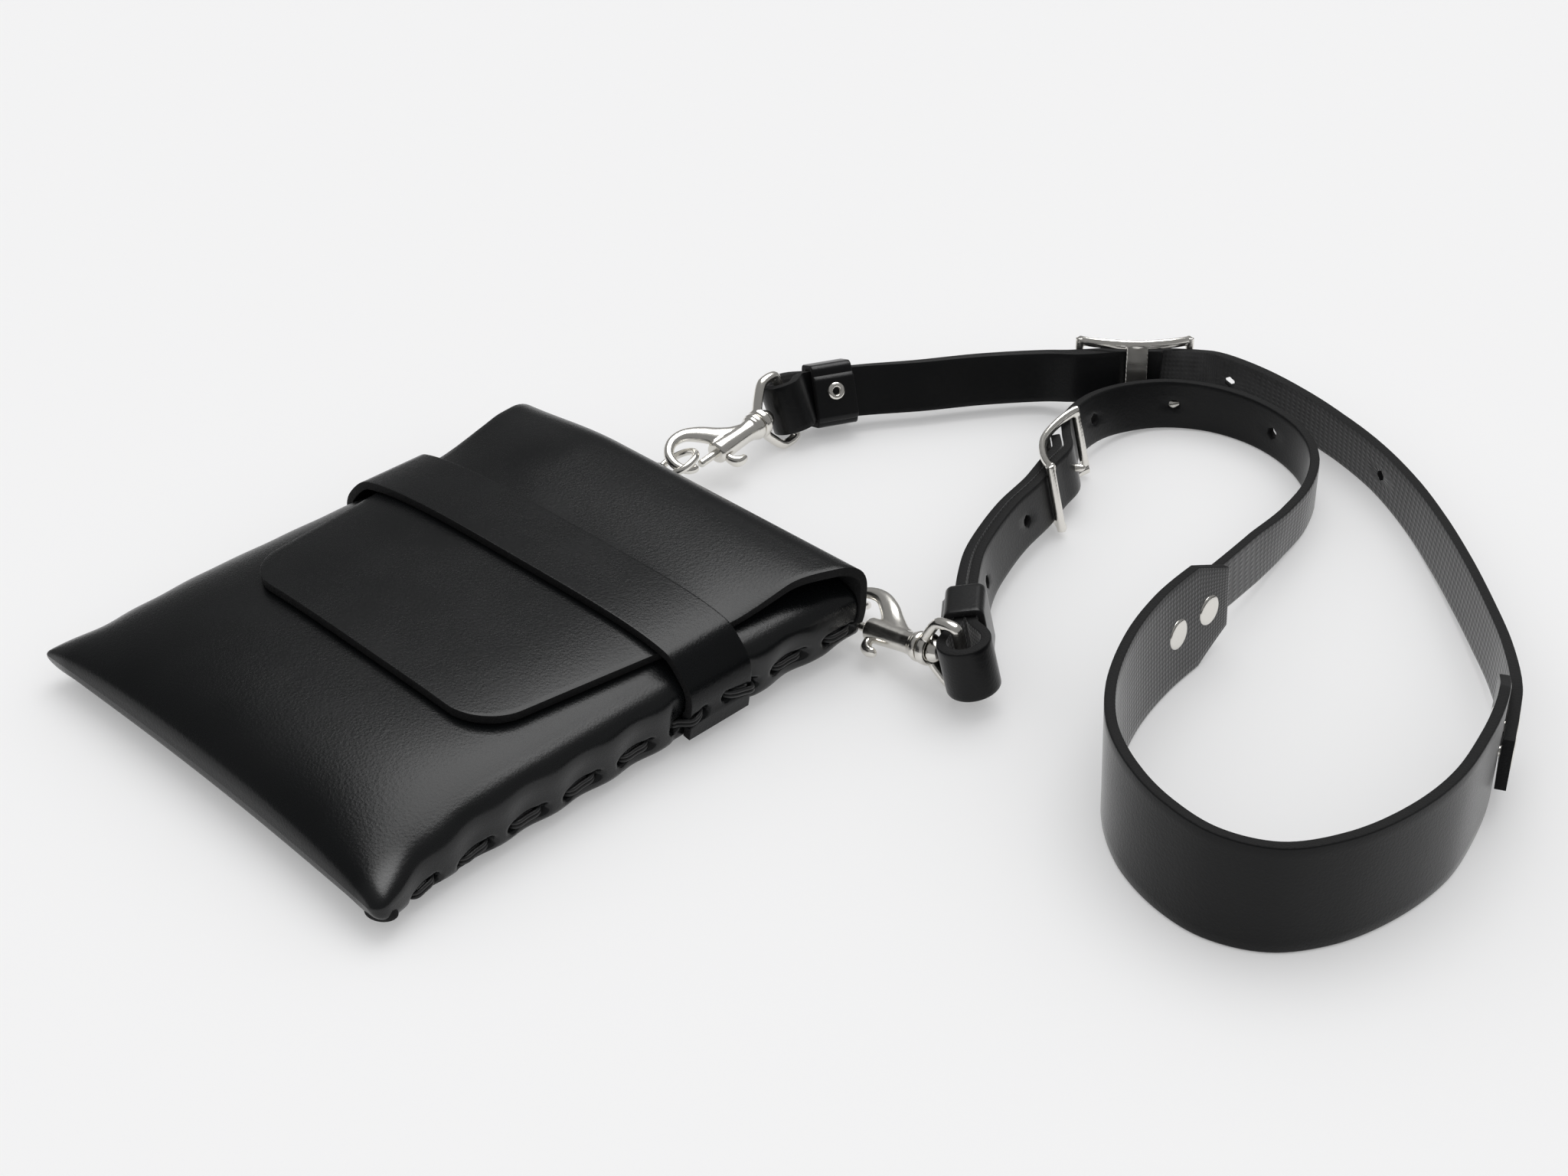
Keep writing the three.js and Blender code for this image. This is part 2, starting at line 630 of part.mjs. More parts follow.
// The whole strap: off the pad, through the buckle, round the bar of the snap's eye, back to the buckle.
function strapRoute(side) {
  const rows = buckleRows(side.buckle, side.doubled);
  const doubledRows = [...rows.slice(1), ...side.double];
  const back = beside(doubledRows, side.doubled * LAYER).map(turnedRow).reverse();
  const { along, high } = eyeAxes(side);
  const loop = new THREE.Vector3(-(EYE_DEPTH + LOOP_SLACK), 0, 0).applyMatrix4(snapFrame(side.snap));
  const toLoop = Math.atan2(along.y, along.x);
  const turn = LOOP_TURN.map((degrees) => {
    const angle = toLoop + degToRad(degrees) * side.doubled;
    const out = new THREE.Vector2(Math.cos(angle), Math.sin(angle)).multiplyScalar(LOOP_RADIUS);
    const tilt = -(out.x * high.x + out.y * high.y) / high.z;
    const lift = loop.z + tilt - STRAP_WIDTH / 2;
    return { x: loop.x + out.x, y: loop.y + out.y, lift, lean: 0, up: high };
  });
  return [...padRows(side.padEnd), ...side.single, ...rows, ...side.double, ...turn, ...back];
}

function nearest(samples, { x, y }) {
  const away = (s) => Math.hypot(s.point.x - x, s.point.y - y);
  return samples.reduce((best, s) => (away(s) < away(best) ? s : best));
}

// Rivets through pad and strap, adjusting holes, and the hole the prong sits in
function strapSolid(side) {
  const samples = sampleRoute(strapRoute(side), STRAP_WIDTH, 2);
  let solid = toSolid(strip(samples, STRAP_WIDTH));
  PAD_RIVETS[side.padEnd].forEach((fromEnd) => {
    solid = solid.subtract(drill(strapFrame(padAt(side.padEnd, fromEnd)), RIVET_BORE, 14));
  });
  side.holes.forEach((hole) => {
    solid = solid.subtract(drill(strapFrame(nearest(samples, hole)), HOLE_DIAMETER / 2, 11));
  });
  return solid.subtract(drill(buckleFrame(side.buckle, side.doubled), HOLE_DIAMETER / 2, 22));
}

function padSolid() {
  let solid = toSolid(strip(padSamples, PAD_WIDTH, PAD_CLIP.length, PAD_CLIP.height));
  [0, 1].forEach((end) => PAD_RIVETS[end].forEach((fromEnd) => {
    solid = solid.subtract(drill(strapFrame(padAt(end, fromEnd)), RIVET_BORE, 5));
  }));
  return solid;
}

// A turned piece along +Y from a table of radius and height.
function turned(profile, sides) {
  return new THREE.LatheGeometry(profile.map(([radius, height]) => new THREE.Vector2(radius, height)), sides);
}

// Flat-headed rivet: a cap on the pad's inner face, a stem, and a cap on the strap's outer face.
function padRivet(end, fromEnd) {
  const inner = STRAP_THICK / 2 + GAP;
  const outer = -(STRAP_THICK * 1.5 + PAD_STAND + GAP);
  const cap = RIVET_CAP;
  const stem = RIVET_BORE - GAP;
  const profile = [
    [0, outer - cap.thick], [cap.radius * 0.85, outer - cap.thick], [cap.radius, outer - cap.thick * 0.4],
    [cap.radius, outer], [stem, outer], [stem, inner], [cap.radius, inner],
    [cap.radius, inner + cap.thick * 0.4], [cap.radius * 0.85, inner + cap.thick], [0, inner + cap.thick],
  ];
  return placed(turned(profile, 10), strapFrame(padAt(end, fromEnd)));
}

// Buckle: two arched rails, two end bars, a flat middle bar and a fixed prong
function buckleSolid(side) {
  const reach = BUCKLE_LENGTH / 2;
  const rail = [[-1, 0], [-0.55, -0.66], [0, -1], [0.55, -0.66], [1, 0]];
  const pieces = [];
  [-1, 1].forEach((edge) => {
    const points = rail.map(([along, arch]) => (
      new THREE.Vector3(along * reach, arch * BUCKLE_ARCH, edge * BUCKLE_HALF)
    ));
    pieces.push(bar(points, BUCKLE_WIRE, 7, 8));
    const end = [-BUCKLE_HALF - 0.6, BUCKLE_HALF + 0.6].map((z) => new THREE.Vector3(edge * reach, 0, z));
    pieces.push(bar(end, BUCKLE_WIRE * 1.02, 7));
  });
  const plate = new THREE.BoxGeometry(MIDDLE_BAR, BUCKLE_WIRE * 1.6, BUCKLE_HALF * 2);
  pieces.push(plate.translate(0, -BUCKLE_ARCH, 0));
  const root = -BUCKLE_ARCH;
  const tip = PRONG_TIP;
  pieces.push(turned([[0, root], [1.3, root], [1.3, tip - 2.6], [0.6, tip - 0.3], [0, tip]], 8));
  return toGeometry(union(pieces.map((piece) => placed(piece, buckleFrame(side.buckle, side.doubled)))));
}

// Keeper: a short leather sleeve round both layers, with a tubular rivet through its doubled side
function keeperFrame(side) {
  const row = side.double[side.keeperRow];
  const after = side.double[side.keeperRow + 1];
  const before = side.double[side.keeperRow - 1];
  const along = new THREE.Vector3(after.x - before.x, after.y - before.y, 0).normalize();
  const up = upright(along, row.lean);
  const normal = leftFace(along, up);
  const point = new THREE.Vector3(row.x, row.y, row.lift + (STRAP_WIDTH / 2) * Math.cos(degToRad(row.lean)));
  point.addScaledVector(normal, (side.doubled * LAYER) / 2);
  return new THREE.Matrix4().makeBasis(along, normal, up).setPosition(point);
}

function roundedBox(halfThick, halfHigh, corner) {
  const shape = new THREE.Shape();
  const [x, y] = [halfThick - corner, halfHigh - corner];
  [[x, y, 0], [-x, y, 1], [-x, -y, 2], [x, -y, 3]].forEach(([cx, cy, quarter], i) => {
    [0, 0.5, 1].forEach((share, k) => {
      const angle = ((quarter + share) * Math.PI) / 2;
      const px = cx + corner * Math.cos(angle);
      const py = cy + corner * Math.sin(angle);
      if (i === 0 && k === 0) shape.moveTo(px, py);
      else shape.lineTo(px, py);
    });
  });
  shape.closePath();
  return shape;
}

const KEEPER_IN = LAYER / 2 + STRAP_THICK / 2 + GAP + 0.3;

function keeperSolid(side) {
  const high = STRAP_WIDTH / 2 + GAP;
  const shape = roundedBox(KEEPER_IN + KEEPER_WALL, high + KEEPER_WALL, 2.2);
  shape.holes.push(roundedBox(KEEPER_IN, high, 0.4));
  const sleeve = new THREE.ExtrudeGeometry(shape, { depth: KEEPER_WIDTH, bevelEnabled: false, steps: 1 });
  sleeve.translate(0, 0, -KEEPER_WIDTH / 2);
  const turn = new THREE.Matrix4().makeBasis(
    new THREE.Vector3(0, 1, 0), new THREE.Vector3(0, 0, 1), new THREE.Vector3(1, 0, 0),
  );
  const frame = keeperFrame(side);
  const bore = new THREE.CylinderGeometry(RIVET_BORE, RIVET_BORE, KEEPER_WALL * 3, 10);
  bore.translate(0, side.doubled * (KEEPER_IN + KEEPER_WALL), 0);
  const solid = toSolid(placed(placed(sleeve, turn), frame));
  return toGeometry(solid.subtract(toSolid(placed(bore, frame))));
}

function keeperRivet(side) {
  const face = KEEPER_IN + KEEPER_WALL + GAP;
  const stem = RIVET_BORE - GAP;
  const { radius, thick, hole } = TUBE_RIVET;
  const profile = [
    [0, KEEPER_IN + 0.2], [stem, KEEPER_IN + 0.2], [stem, face], [radius, face], [radius, face + thick * 0.6],
    [radius * 0.75, face + thick], [hole, face + thick], [hole, face - 0.8], [0, face - 0.8],
  ];
  const mirror = new THREE.Matrix4();
  if (side.doubled < 0) mirror.makeRotationX(Math.PI);
  return placed(placed(turned(profile, 10), mirror), keeperFrame(side));
}

// Swivel snap: eye, hook with barrel, collar and swivel head, and the sliding bolt
const toSnapAxis = new THREE.Matrix4().makeRotationZ(-Math.PI / 2);

function eyeFrame(side) {
  const { axis, across, high } = eyeAxes(side);
  return new THREE.Matrix4().makeBasis(axis, across, high).setPosition(side.snap.x, side.snap.y, side.snap.z);
}

function eyeSolid(side) {
  const upper = [
    [0, 3.6], [-3, 7.2], [-EYE_SHOULDER, EYE_HALF - 0.5], [-EYE_SHOULDER - 2.4, EYE_HALF],
    [-EYE_DEPTH + 1.4, EYE_HALF], [-EYE_DEPTH, EYE_HALF - 1.4], [-EYE_DEPTH, EYE_HALF - 5],
  ];
  const lower = upper.map(([a, high]) => [a, -high]).reverse();
  const wire = bar([...upper, ...lower].map(([a, high]) => new THREE.Vector3(a, 0, high)), EYE_WIRE, 7, 24);
  const { radius, half, bore } = EYE_BASE;
  const base = placed(new THREE.CylinderGeometry(radius, radius, half * 2, 14), toSnapAxis);
  const hole = placed(new THREE.CylinderGeometry(bore, bore, half * 6, 12), toSnapAxis);
  return placed(toGeometry(union([wire, base]).subtract(toSolid(hole))), eyeFrame(side));
}

// Turned profile of post, swivel head, collar and barrel: radius against place along the axis.
function hookSolid(side) {
  const collarStart = EYE_BASE.half + GAP;
  const headEnd = -EYE_BASE.half - GAP;
  const post = EYE_BASE.bore - GAP;
  const profile = [
    [0, headEnd - 3.6], [1.8, headEnd - 3.2], [3, headEnd - 1.8], [3.3, headEnd], [post, headEnd],
    [post, collarStart], [4.3, collarStart], [4.3, collarStart + 2.4], [BARREL_RADIUS, collarStart + 3.4],
    [BARREL_RADIUS, BARREL_END - 0.6], [BARREL_RADIUS - 0.6, BARREL_END], [0, BARREL_END],
  ];
  const barrel = placed(turned(profile, 12), toSnapAxis);
  const arm = bar(HOOK_ARM.map(([a, c]) => new THREE.Vector3(a, c, 0)), HOOK_WIRE, 8, 16);
  const boreStart = BOLT_START - BOLT_TRAVEL - 1;
  const boreLength = BARREL_END + 1 - boreStart;
  const bore = placed(new THREE.CylinderGeometry(BOLT_BORE, BOLT_BORE, boreLength, 12), toSnapAxis);
  bore.translate(boreStart + boreLength / 2, 0, 0);
  const slotLength = BOLT_TRAVEL + BOLT_NECK * 2 + 1;
  const slot = new THREE.BoxGeometry(slotLength, BARREL_RADIUS * 2, (BOLT_NECK + GAP) * 2);
  slot.translate(KNOB_AT + BOLT_NECK + 0.5 - slotLength / 2, BARREL_RADIUS, 0);
  const solid = union([barrel, arm]).subtract(toSolid(bore)).subtract(toSolid(slot));
  return placed(toGeometry(solid), snapFrame(side.snap));
}

function boltSolid(side) {
  const length = BOLT_END - BOLT_START;
  const rod = placed(new THREE.CylinderGeometry(BOLT_RADIUS, BOLT_RADIUS, length, 10), toSnapAxis);
  rod.translate(BOLT_START + length / 2, 0, 0);
  const neck = new THREE.CylinderGeometry(BOLT_NECK, BOLT_NECK, KNOB_OUT, 8);
  neck.translate(KNOB_AT, KNOB_OUT / 2, 0);
  const knob = new THREE.SphereGeometry(1, 8, 5).scale(KNOB_SIZE.along, KNOB_SIZE.across, KNOB_SIZE.across);
  knob.translate(KNOB_AT - 0.8, KNOB_OUT, 0);
  return placed(toGeometry(union([rod, neck, knob])), snapFrame(side.snap));
}

// Rings and the tabs that hold them

function ringFrame({ x, y, z, heading, dip, roll }) {
  const turn = new THREE.Matrix4().makeRotationZ(degToRad(heading));
  turn.multiply(new THREE.Matrix4().makeRotationY(degToRad(dip)));
  turn.multiply(new THREE.Matrix4().makeRotationX(degToRad(roll)));
  return turn.setPosition(x, y, z);
}

// A folded strip round the ring's wire: flat under the pouch's back, then rising and twisting to the ring.
function tabSolid(side) {
  const frame = ringFrame(side.ring);
  const wire = new THREE.Vector3(RING_RADIUS, 0, 0).applyMatrix4(frame);
  const across = new THREE.Vector3().setFromMatrixColumn(frame, 1);
  const root = new THREE.Vector3(side.tab.x, side.tab.y, side.tab.z);
  const along = wire.clone().sub(root).setZ(0);
  const length = along.length();
  along.normalize();
  const flat = new THREE.Vector3(0, 0, 1).cross(along);
  const wide = across.clone().addScaledVector(along, -across.dot(along)).normalize();
  if (wide.dot(flat) < 0) wide.negate();
  const loop = RING_WIRE + TAB_ROOM + TAB_THICK / 2;
  const shut = TAB_THICK / 2 + 0.1;
  const rows = [0, 0.35, 0.55, 0.7, 0.85].map((share) => ({
    s: share * length, n: -lerp(shut, loop, smoothstep(share, 0.55, 1)), slope: -Math.PI / 2,
  }));
  const turns = [-90, -54, -18, 18, 54, 90].map((degrees) => {
    const angle = degToRad(degrees);
    return { s: length + loop * Math.cos(angle), n: loop * Math.sin(angle), slope: angle };
  });
  const back = rows.map((row) => ({ s: row.s, n: -row.n, slope: Math.PI / 2 })).reverse();
  return loft([...rows, ...turns, ...back].map(({ s, n, slope }) => {
    const raised = smoothstep(s / length, 0.62, 0.97);
    const w = flat.clone().lerp(wide, raised).normalize();
    const high = along.clone().cross(w);
    const centre = root.clone().addScaledVector(along, s).addScaledVector(high, n);
    centre.z += raised * (wire.z - root.z);
    const outward = along.clone().multiplyScalar(Math.cos(slope)).addScaledVector(high, Math.sin(slope));
    return [[-1, -1], [1, -1], [1, 1], [-1, 1]].map(([u, v]) => (
      centre.clone().addScaledVector(w, (u * TAB_WIDTH) / 2).addScaledVector(outward, (v * TAB_THICK) / 2)
    ));
  }));
}

// Assembly

addPiece('pouch_body', pouchShell(), leather);
addPiece('flap', flapSolid(), leather);
addPiece('closing_band', bandSolid(), leather);
addPiece('shoulder_pad', toGeometry(padSolid()), strapLeather);

Object.entries(SIDES).forEach(([name, side]) => {
  addPiece(`strap_${name}`, toGeometry(strapSolid(side)), strapLeather);
  addPiece(`buckle_${name}`, buckleSolid(side), nickel);
  addPiece(`keeper_${name}`, keeperSolid(side), strapLeather);
  addPiece(`keeper_rivet_${name}`, keeperRivet(side), nickel);
  PAD_RIVETS[side.padEnd].forEach((fromEnd, i) => {
    addPiece(`pad_rivet_${name}_${i + 1}`, padRivet(side.padEnd, fromEnd), nickel);
  });
  addPiece(`snap_eye_${name}`, eyeSolid(side), nickel);
  addPiece(`snap_hook_${name}`, hookSolid(side), nickel);
  addPiece(`snap_bolt_${name}`, boltSolid(side), nickel);
  const ring = new THREE.TorusGeometry(RING_RADIUS, RING_WIRE, 7, 16);
  addPiece(`ring_${name}`, placed(ring, ringFrame(side.ring)), nickel);
  addPiece(`ring_tab_${name}`, tabSolid(side), leather);
});

export default model;
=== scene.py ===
# %% [markdown]
# # A black leather shoulder pouch
# The pouch lies on its back on a pale table, its flap tucked under a band, its strap laid in loops beside it.
# The solid model is loaded first as a fixed frame. Every soft piece is then modelled again in its place with
# its dents, cut edges and lacing, and the metal gets the rounded forms of cast and bent hardware.

from collections import namedtuple
from math import atan2, cos, exp, hypot, pi, radians, sin, sqrt, tan

import bmesh
import bpy
import numpy as np
from mathutils import Matrix, Vector


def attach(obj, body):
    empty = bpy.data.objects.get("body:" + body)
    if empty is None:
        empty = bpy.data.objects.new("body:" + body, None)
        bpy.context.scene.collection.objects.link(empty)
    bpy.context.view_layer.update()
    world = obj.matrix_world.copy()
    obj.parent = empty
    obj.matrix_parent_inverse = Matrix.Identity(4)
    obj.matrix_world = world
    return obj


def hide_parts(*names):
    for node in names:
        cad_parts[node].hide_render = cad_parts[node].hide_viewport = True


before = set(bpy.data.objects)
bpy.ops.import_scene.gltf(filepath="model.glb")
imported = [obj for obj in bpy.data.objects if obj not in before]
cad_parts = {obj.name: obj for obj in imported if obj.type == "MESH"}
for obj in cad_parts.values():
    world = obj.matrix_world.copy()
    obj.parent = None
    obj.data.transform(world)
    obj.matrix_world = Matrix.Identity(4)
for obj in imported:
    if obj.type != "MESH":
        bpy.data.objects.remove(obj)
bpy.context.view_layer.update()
MM = 0.001

# %% [markdown]
# The camera comes first, because everything is judged through it. It stands to the right of the pouch's
# bottom edge, about 34 degrees above the table, with a long lens, as the photograph does.

# %% Camera
CAMERA_PLACE = Vector((442.95, -314.95, 394.1)) * MM
CAMERA_TURN = (radians(55.6), 0, radians(45))
lens = bpy.data.cameras.new("camera")
lens.lens = 54.49
lens.sensor_width = 36
lens.clip_start = 0.01
camera = bpy.data.objects.new("camera", lens)
camera.location = CAMERA_PLACE
camera.rotation_euler = CAMERA_TURN
bpy.context.collection.objects.link(camera)
bpy.context.scene.camera = camera
print("camera at", [round(v, 3) for v in camera.location])

# %% [markdown]
# Small helpers for blending numbers, of the kind that the solid model uses too.


# %% Blending numbers
def lerp(a, b, t):
    return a + (b - a) * t


def clamp(x, low=0.0, high=1.0):
    return min(max(x, low), high)


def smoothstep(x, low, high):
    t = clamp((x - low) / (high - low))
    return t * t * (3 - 2 * t)


def bell(x, width):
    return exp(-((x / width) ** 2))


# %% [markdown]
# Almost every piece here is a sheet of leather or a swept bar, and both can start as a grid: a grid is made
# by one operator, and each of its corners is then moved to where a small function says. A sheet gets its
# thickness from a Solidify modifier, which can also give the back and the cut edge materials of their own.


# %% Grids, objects and finishing
def mapped_grid(columns, rows, place, flip=False, wrap=False):
    """A grid whose corner at shares u and v, from 0 to 1, lies at place(u, v), in millimetres."""
    bm = bmesh.new()
    bm.loops.layers.uv.new("lay")
    bmesh.ops.create_grid(bm, x_segments=columns, y_segments=rows, size=0.5, calc_uvs=True)
    for corner in bm.verts:
        corner.co = place(corner.co.x + 0.5, corner.co.y + 0.5) * MM
    if wrap:
        bmesh.ops.remove_doubles(bm, verts=bm.verts[:], dist=0.002 * MM)
    if flip:
        bmesh.ops.reverse_faces(bm, faces=bm.faces[:])
    return bm


def scale_uv(bm, width, length):
    """Stretches the grid's own map to real lengths, so that a weave on it keeps its scale."""
    lay = bm.loops.layers.uv.active
    for face in bm.faces:
        for loop in face.loops:
            loop[lay].uv = (loop[lay].uv.x * width * MM, loop[lay].uv.y * length * MM)


def closed(bm):
    bmesh.ops.remove_doubles(bm, verts=bm.verts[:], dist=0.002 * MM)
    open_edges = [edge for edge in bm.edges if edge.is_boundary]
    if open_edges:
        bmesh.ops.holes_fill(bm, edges=open_edges, sides=0)
    bmesh.ops.recalc_face_normals(bm, faces=bm.faces[:])
    return bm


def joined(parts):
    """One bmesh from several, each left as it is."""
    whole = bmesh.new()
    for part in parts:
        scratch = bpy.data.meshes.new("scratch")
        part.to_mesh(scratch)
        part.free()
        whole.from_mesh(scratch)
        bpy.data.meshes.remove(scratch)
    return whole


def add_piece(name, bm, materials, body="pouch", nodes=()):
    mesh = bpy.data.meshes.new(name)
    bm.to_mesh(mesh)
    bm.free()
    mesh.polygons.foreach_set("use_smooth", [True] * len(mesh.polygons))
    piece = bpy.data.objects.new(name, mesh)
    bpy.context.collection.objects.link(piece)
    for material in materials:
        mesh.materials.append(material)
    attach(piece, body)
    if nodes:
        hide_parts(*nodes)
    return piece


def give_thickness(piece, thick, offset, edge_round=0.5):
    """Leather: a back of its own, a cut edge of its own, and that edge a little rounded."""
    solid = piece.modifiers.new("thickness", "SOLIDIFY")
    solid.thickness = thick * MM
    solid.offset = offset
    solid.use_even_offset = True
    solid.material_offset = 1
    solid.material_offset_rim = 2
    soft = piece.modifiers.new("worn edges", "BEVEL")
    soft.width = edge_round * MM
    soft.segments = 2
    soft.limit_method = "ANGLE"
    soft.angle_limit = radians(50)
    soft.harden_normals = False
    return piece


print("helpers ready")

# %% [markdown]
# Materials are written as Python expressions. One small class wraps a socket, so that adding or
# multiplying two of them adds the Math node that does it, and one method makes any other node.


# %% Shader expressions
class Finish:
    """A material in the making."""

    def __init__(self, name):
        self.material = bpy.data.materials.new(name)
        self.material.use_nodes = True
        self.tree = self.material.node_tree
        self.shader = self.tree.nodes["Principled BSDF"]

    def node(self, kind, settings=None, output=0, **sockets):
        made = self.tree.nodes.new(kind)
        for key, value in (settings or {}).items():
            setattr(made, key, value)
        for key, value in sockets.items():
            self.put(made.inputs[int(key[1:]) if key[0] == "i" and key[1:].isdigit() else key], value)
        return Level(self, made.outputs[output])

    def put(self, socket, value):
        if isinstance(value, Level):
            self.tree.links.new(value.socket, socket)
        else:
            socket.default_value = value

    def blend(self, level, low, high):
        return self.node(
            "ShaderNodeMix", {"data_type": "RGBA"}, output=2, i0=level, i6=(*low, 1), i7=(*high, 1)
        )

    def bump(self, height, depth, strength=1.0):
        lifted = self.node("ShaderNodeBump", Height=height, Distance=depth * MM, Strength=strength)
        self.put(self.shader.inputs["Normal"], lifted)

    def set(self, **sockets):
        for key, value in sockets.items():
            self.put(self.shader.inputs[key.replace("_", " ")], value)


class Level:
    """A shader value that Python expressions can work with."""

    def __init__(self, finish, socket):
        self.finish = finish
        self.socket = socket

    def maths(self, operation, a, b):
        return self.finish.node("ShaderNodeMath", {"operation": operation}, i0=a, i1=b)

    def __add__(self, other):
        return self.maths("ADD", self, other)

    def __sub__(self, other):
        return self.maths("SUBTRACT", self, other)

    def __mul__(self, other):
        return self.maths("MULTIPLY", self, other)

    __radd__ = __add__
    __rmul__ = __mul__


print("shader helpers ready")

# %% [markdown]
# The leather is black right through, smooth on its grain side, with a very fine pebble, a few pores and a soft
# uneven sheen. Its flesh side is matt, and pressed with a fine cloth-like pattern. Its cut edges are raw,
# fibrous and a little greyer. All patterns are given in real sizes, in metres of the object itself.


# %% Leather
WALL_FROM, WALL_TO = 64.0, 71.0


def on_walls(finish, where):
    """A level that rises from 0 on the front to 1 on the two side walls."""
    across = finish.node("ShaderNodeSeparateXYZ", Vector=where)
    reach = across.maths("ABSOLUTE", across, 0.0)
    return finish.node(
        "ShaderNodeMapRange", {"interpolation_type": "SMOOTHSTEP"}, i0=reach, i1=WALL_FROM * MM, i2=WALL_TO * MM
    )


def grain_leather(name, dark, light, rough, pebble, ior, bloom=0.0, polish=0.0):
    """Bloom is a sheen at grazing angles; polish is a gloss on the side walls. Both are matched."""
    finish = Finish(name)
    where = finish.node("ShaderNodeTexCoord", output=3)
    cloud = finish.node("ShaderNodeTexNoise", Vector=where, Scale=38.0, Detail=3.0)
    grain = finish.node("ShaderNodeTexNoise", Vector=where, Scale=pebble, Detail=4.0, Roughness=0.62)
    pores = finish.node("ShaderNodeTexVoronoi", Vector=where, Scale=pebble * 0.55)
    height = grain * 0.7 + pores * 0.5
    finish.set(
        Base_Color=finish.blend(cloud, dark, light),
        Roughness=rough + (cloud - 0.5) * 0.12 + (grain - 0.5) * 0.1,
        IOR=ior,
        Sheen_Weight=bloom,
        Sheen_Roughness=0.3,
    )
    if polish:
        finish.set(Coat_Weight=on_walls(finish, where) * polish, Coat_Roughness=0.25, Coat_IOR=1.5)
    finish.bump(height, 0.1, 0.5)
    return finish.material


def cut_edge(name):
    finish = Finish(name)
    where = finish.node("ShaderNodeTexCoord", output=3)
    fibre = finish.node("ShaderNodeTexNoise", Vector=where, Scale=1500.0, Detail=5.0)
    finish.set(
        Base_Color=finish.blend(fibre, (0.002, 0.002, 0.0022), (0.013, 0.013, 0.0135)),
        Roughness=0.8 + (fibre - 0.5) * 0.2,
        IOR=1.3,
    )
    finish.bump(fibre, 0.35, 0.8)
    return finish.material


def flesh_leather(name):
    """The back of the strap leather, pressed with a fine weave that follows the strip."""
    finish = Finish(name)
    lay = finish.node("ShaderNodeUVMap", {"uv_map": "lay"})
    along = finish.node(
        "ShaderNodeTexWave", {"bands_direction": "X"}, output=1, Vector=lay, Scale=210.0, Distortion=1.2
    )
    across = finish.node(
        "ShaderNodeTexWave", {"bands_direction": "Y"}, output=1, Vector=lay, Scale=210.0, Distortion=1.2
    )
    patch = finish.node("ShaderNodeTexNoise", Vector=lay, Scale=160.0, Detail=4.0)
    weave = along * across + patch * 0.5
    finish.set(
        Base_Color=finish.blend(patch, (0.014, 0.014, 0.0145), (0.05, 0.05, 0.051)),
        Roughness=0.5 + (patch - 0.5) * 0.2,
        IOR=1.45,
        Sheen_Weight=0.5,
        Sheen_Roughness=0.35,
    )
    finish.bump(weave, 0.16, 0.7)
    return finish.material


POUCH_TONES = (0.0022, 0.0026, 0.0029), (0.0044, 0.0049, 0.0054)
STRAP_TONES = (0.0020, 0.0022, 0.0025), (0.0046, 0.0048, 0.0052)
POUCH_GRAIN = grain_leather("pouch grain", *POUCH_TONES, 0.27, 2000.0, 1.27)
SHELL_GRAIN = grain_leather("shell grain", *POUCH_TONES, 0.27, 2000.0, 1.27, polish=0.4)
STRAP_GRAIN = grain_leather("strap grain", *STRAP_TONES, 0.34, 2000.0, 1.3, bloom=0.3)
PAD_GRAIN = grain_leather("pad grain", *STRAP_TONES, 0.34, 2000.0, 1.3, bloom=0.55)
LACE = grain_leather("lace", (0.006, 0.0062, 0.0065), (0.014, 0.0142, 0.0146), 0.4, 2600.0, 1.45)
CUT_EDGE = cut_edge("cut edge")
FLESH = flesh_leather("flesh side")
STRAP_LEATHER = (STRAP_GRAIN, FLESH, CUT_EDGE)
print("leathers:", [m.name for m in (POUCH_GRAIN, SHELL_GRAIN, PAD_GRAIN, LACE, *STRAP_LEATHER)])

# %% [markdown]
# The hardware is nickel plated and polished by tumbling: bright, slightly warm, with a soft waviness and a
# haze of fine handling marks that only changes the gloss.


# %% Nickel
def nickel_plate(name, colour, rough):
    finish = Finish(name)
    where = finish.node("ShaderNodeTexCoord", output=3)
    haze = finish.node("ShaderNodeTexNoise", Vector=where, Scale=420.0, Detail=5.0)
    wave = finish.node("ShaderNodeTexNoise", Vector=where, Scale=260.0, Detail=1.0)
    finish.set(Base_Color=(*colour, 1), Metallic=1.0, Roughness=rough + (haze - 0.5) * 0.14)
    finish.bump(wave, 0.08, 0.25)
    return finish.material


NICKEL = nickel_plate("nickel", (0.80, 0.78, 0.735), 0.21)
print("metal:", NICKEL.name)

# %% [markdown]
# The pouch's shell is one piece of leather folded at the bottom and laced down both sides. Wet moulding
# gives it a flat front with rounded shoulders that fall to a thin edge at the bottom. Its section is a
# superellipse whose size changes along the pouch, so the whole skin is one function of a place along the
# pouch and an angle round it. A subdivision cage could do this too, but not follow the section so closely.
# Near the mouth the section narrows, so that it fits inside the flap's fold.

# %% Sizes of the shell
WALL = 2.6
GAP = 0.3
BOTTOM_Y = -84.5
MOUTH_Y = 81.0
BOTTOM_EDGE_Z = 9.5
BOTTOM_HOLLOW = 2.0
BOTTOM_LIP = 2.3
FRONT_Z = 25.4
SEAM_Z = 6.0
SIDE_X = 72.0
CORNER_FLARE = 3.6
CORNER_ROUND = {-1: 1.2, 1: 4.5}
MOUTH_FLARE = 1.5
FRONT_RISE = 48.0
BACK_RISE = 34.0
SIDE_BACK_RISE = 11.0
TOP_LIFT = 4.4
TOP_LIFT_SPAN = (34.0, 69.5)
FOLD_ENTRY = 75.6
MOUTH_RISE = {"entry": 3.6, "end": 2.1, "seam": 3.0}
MOUTH_SINK = 0.5
MOUTH_SIDE = {-1: 0.8, 1: 3.2}
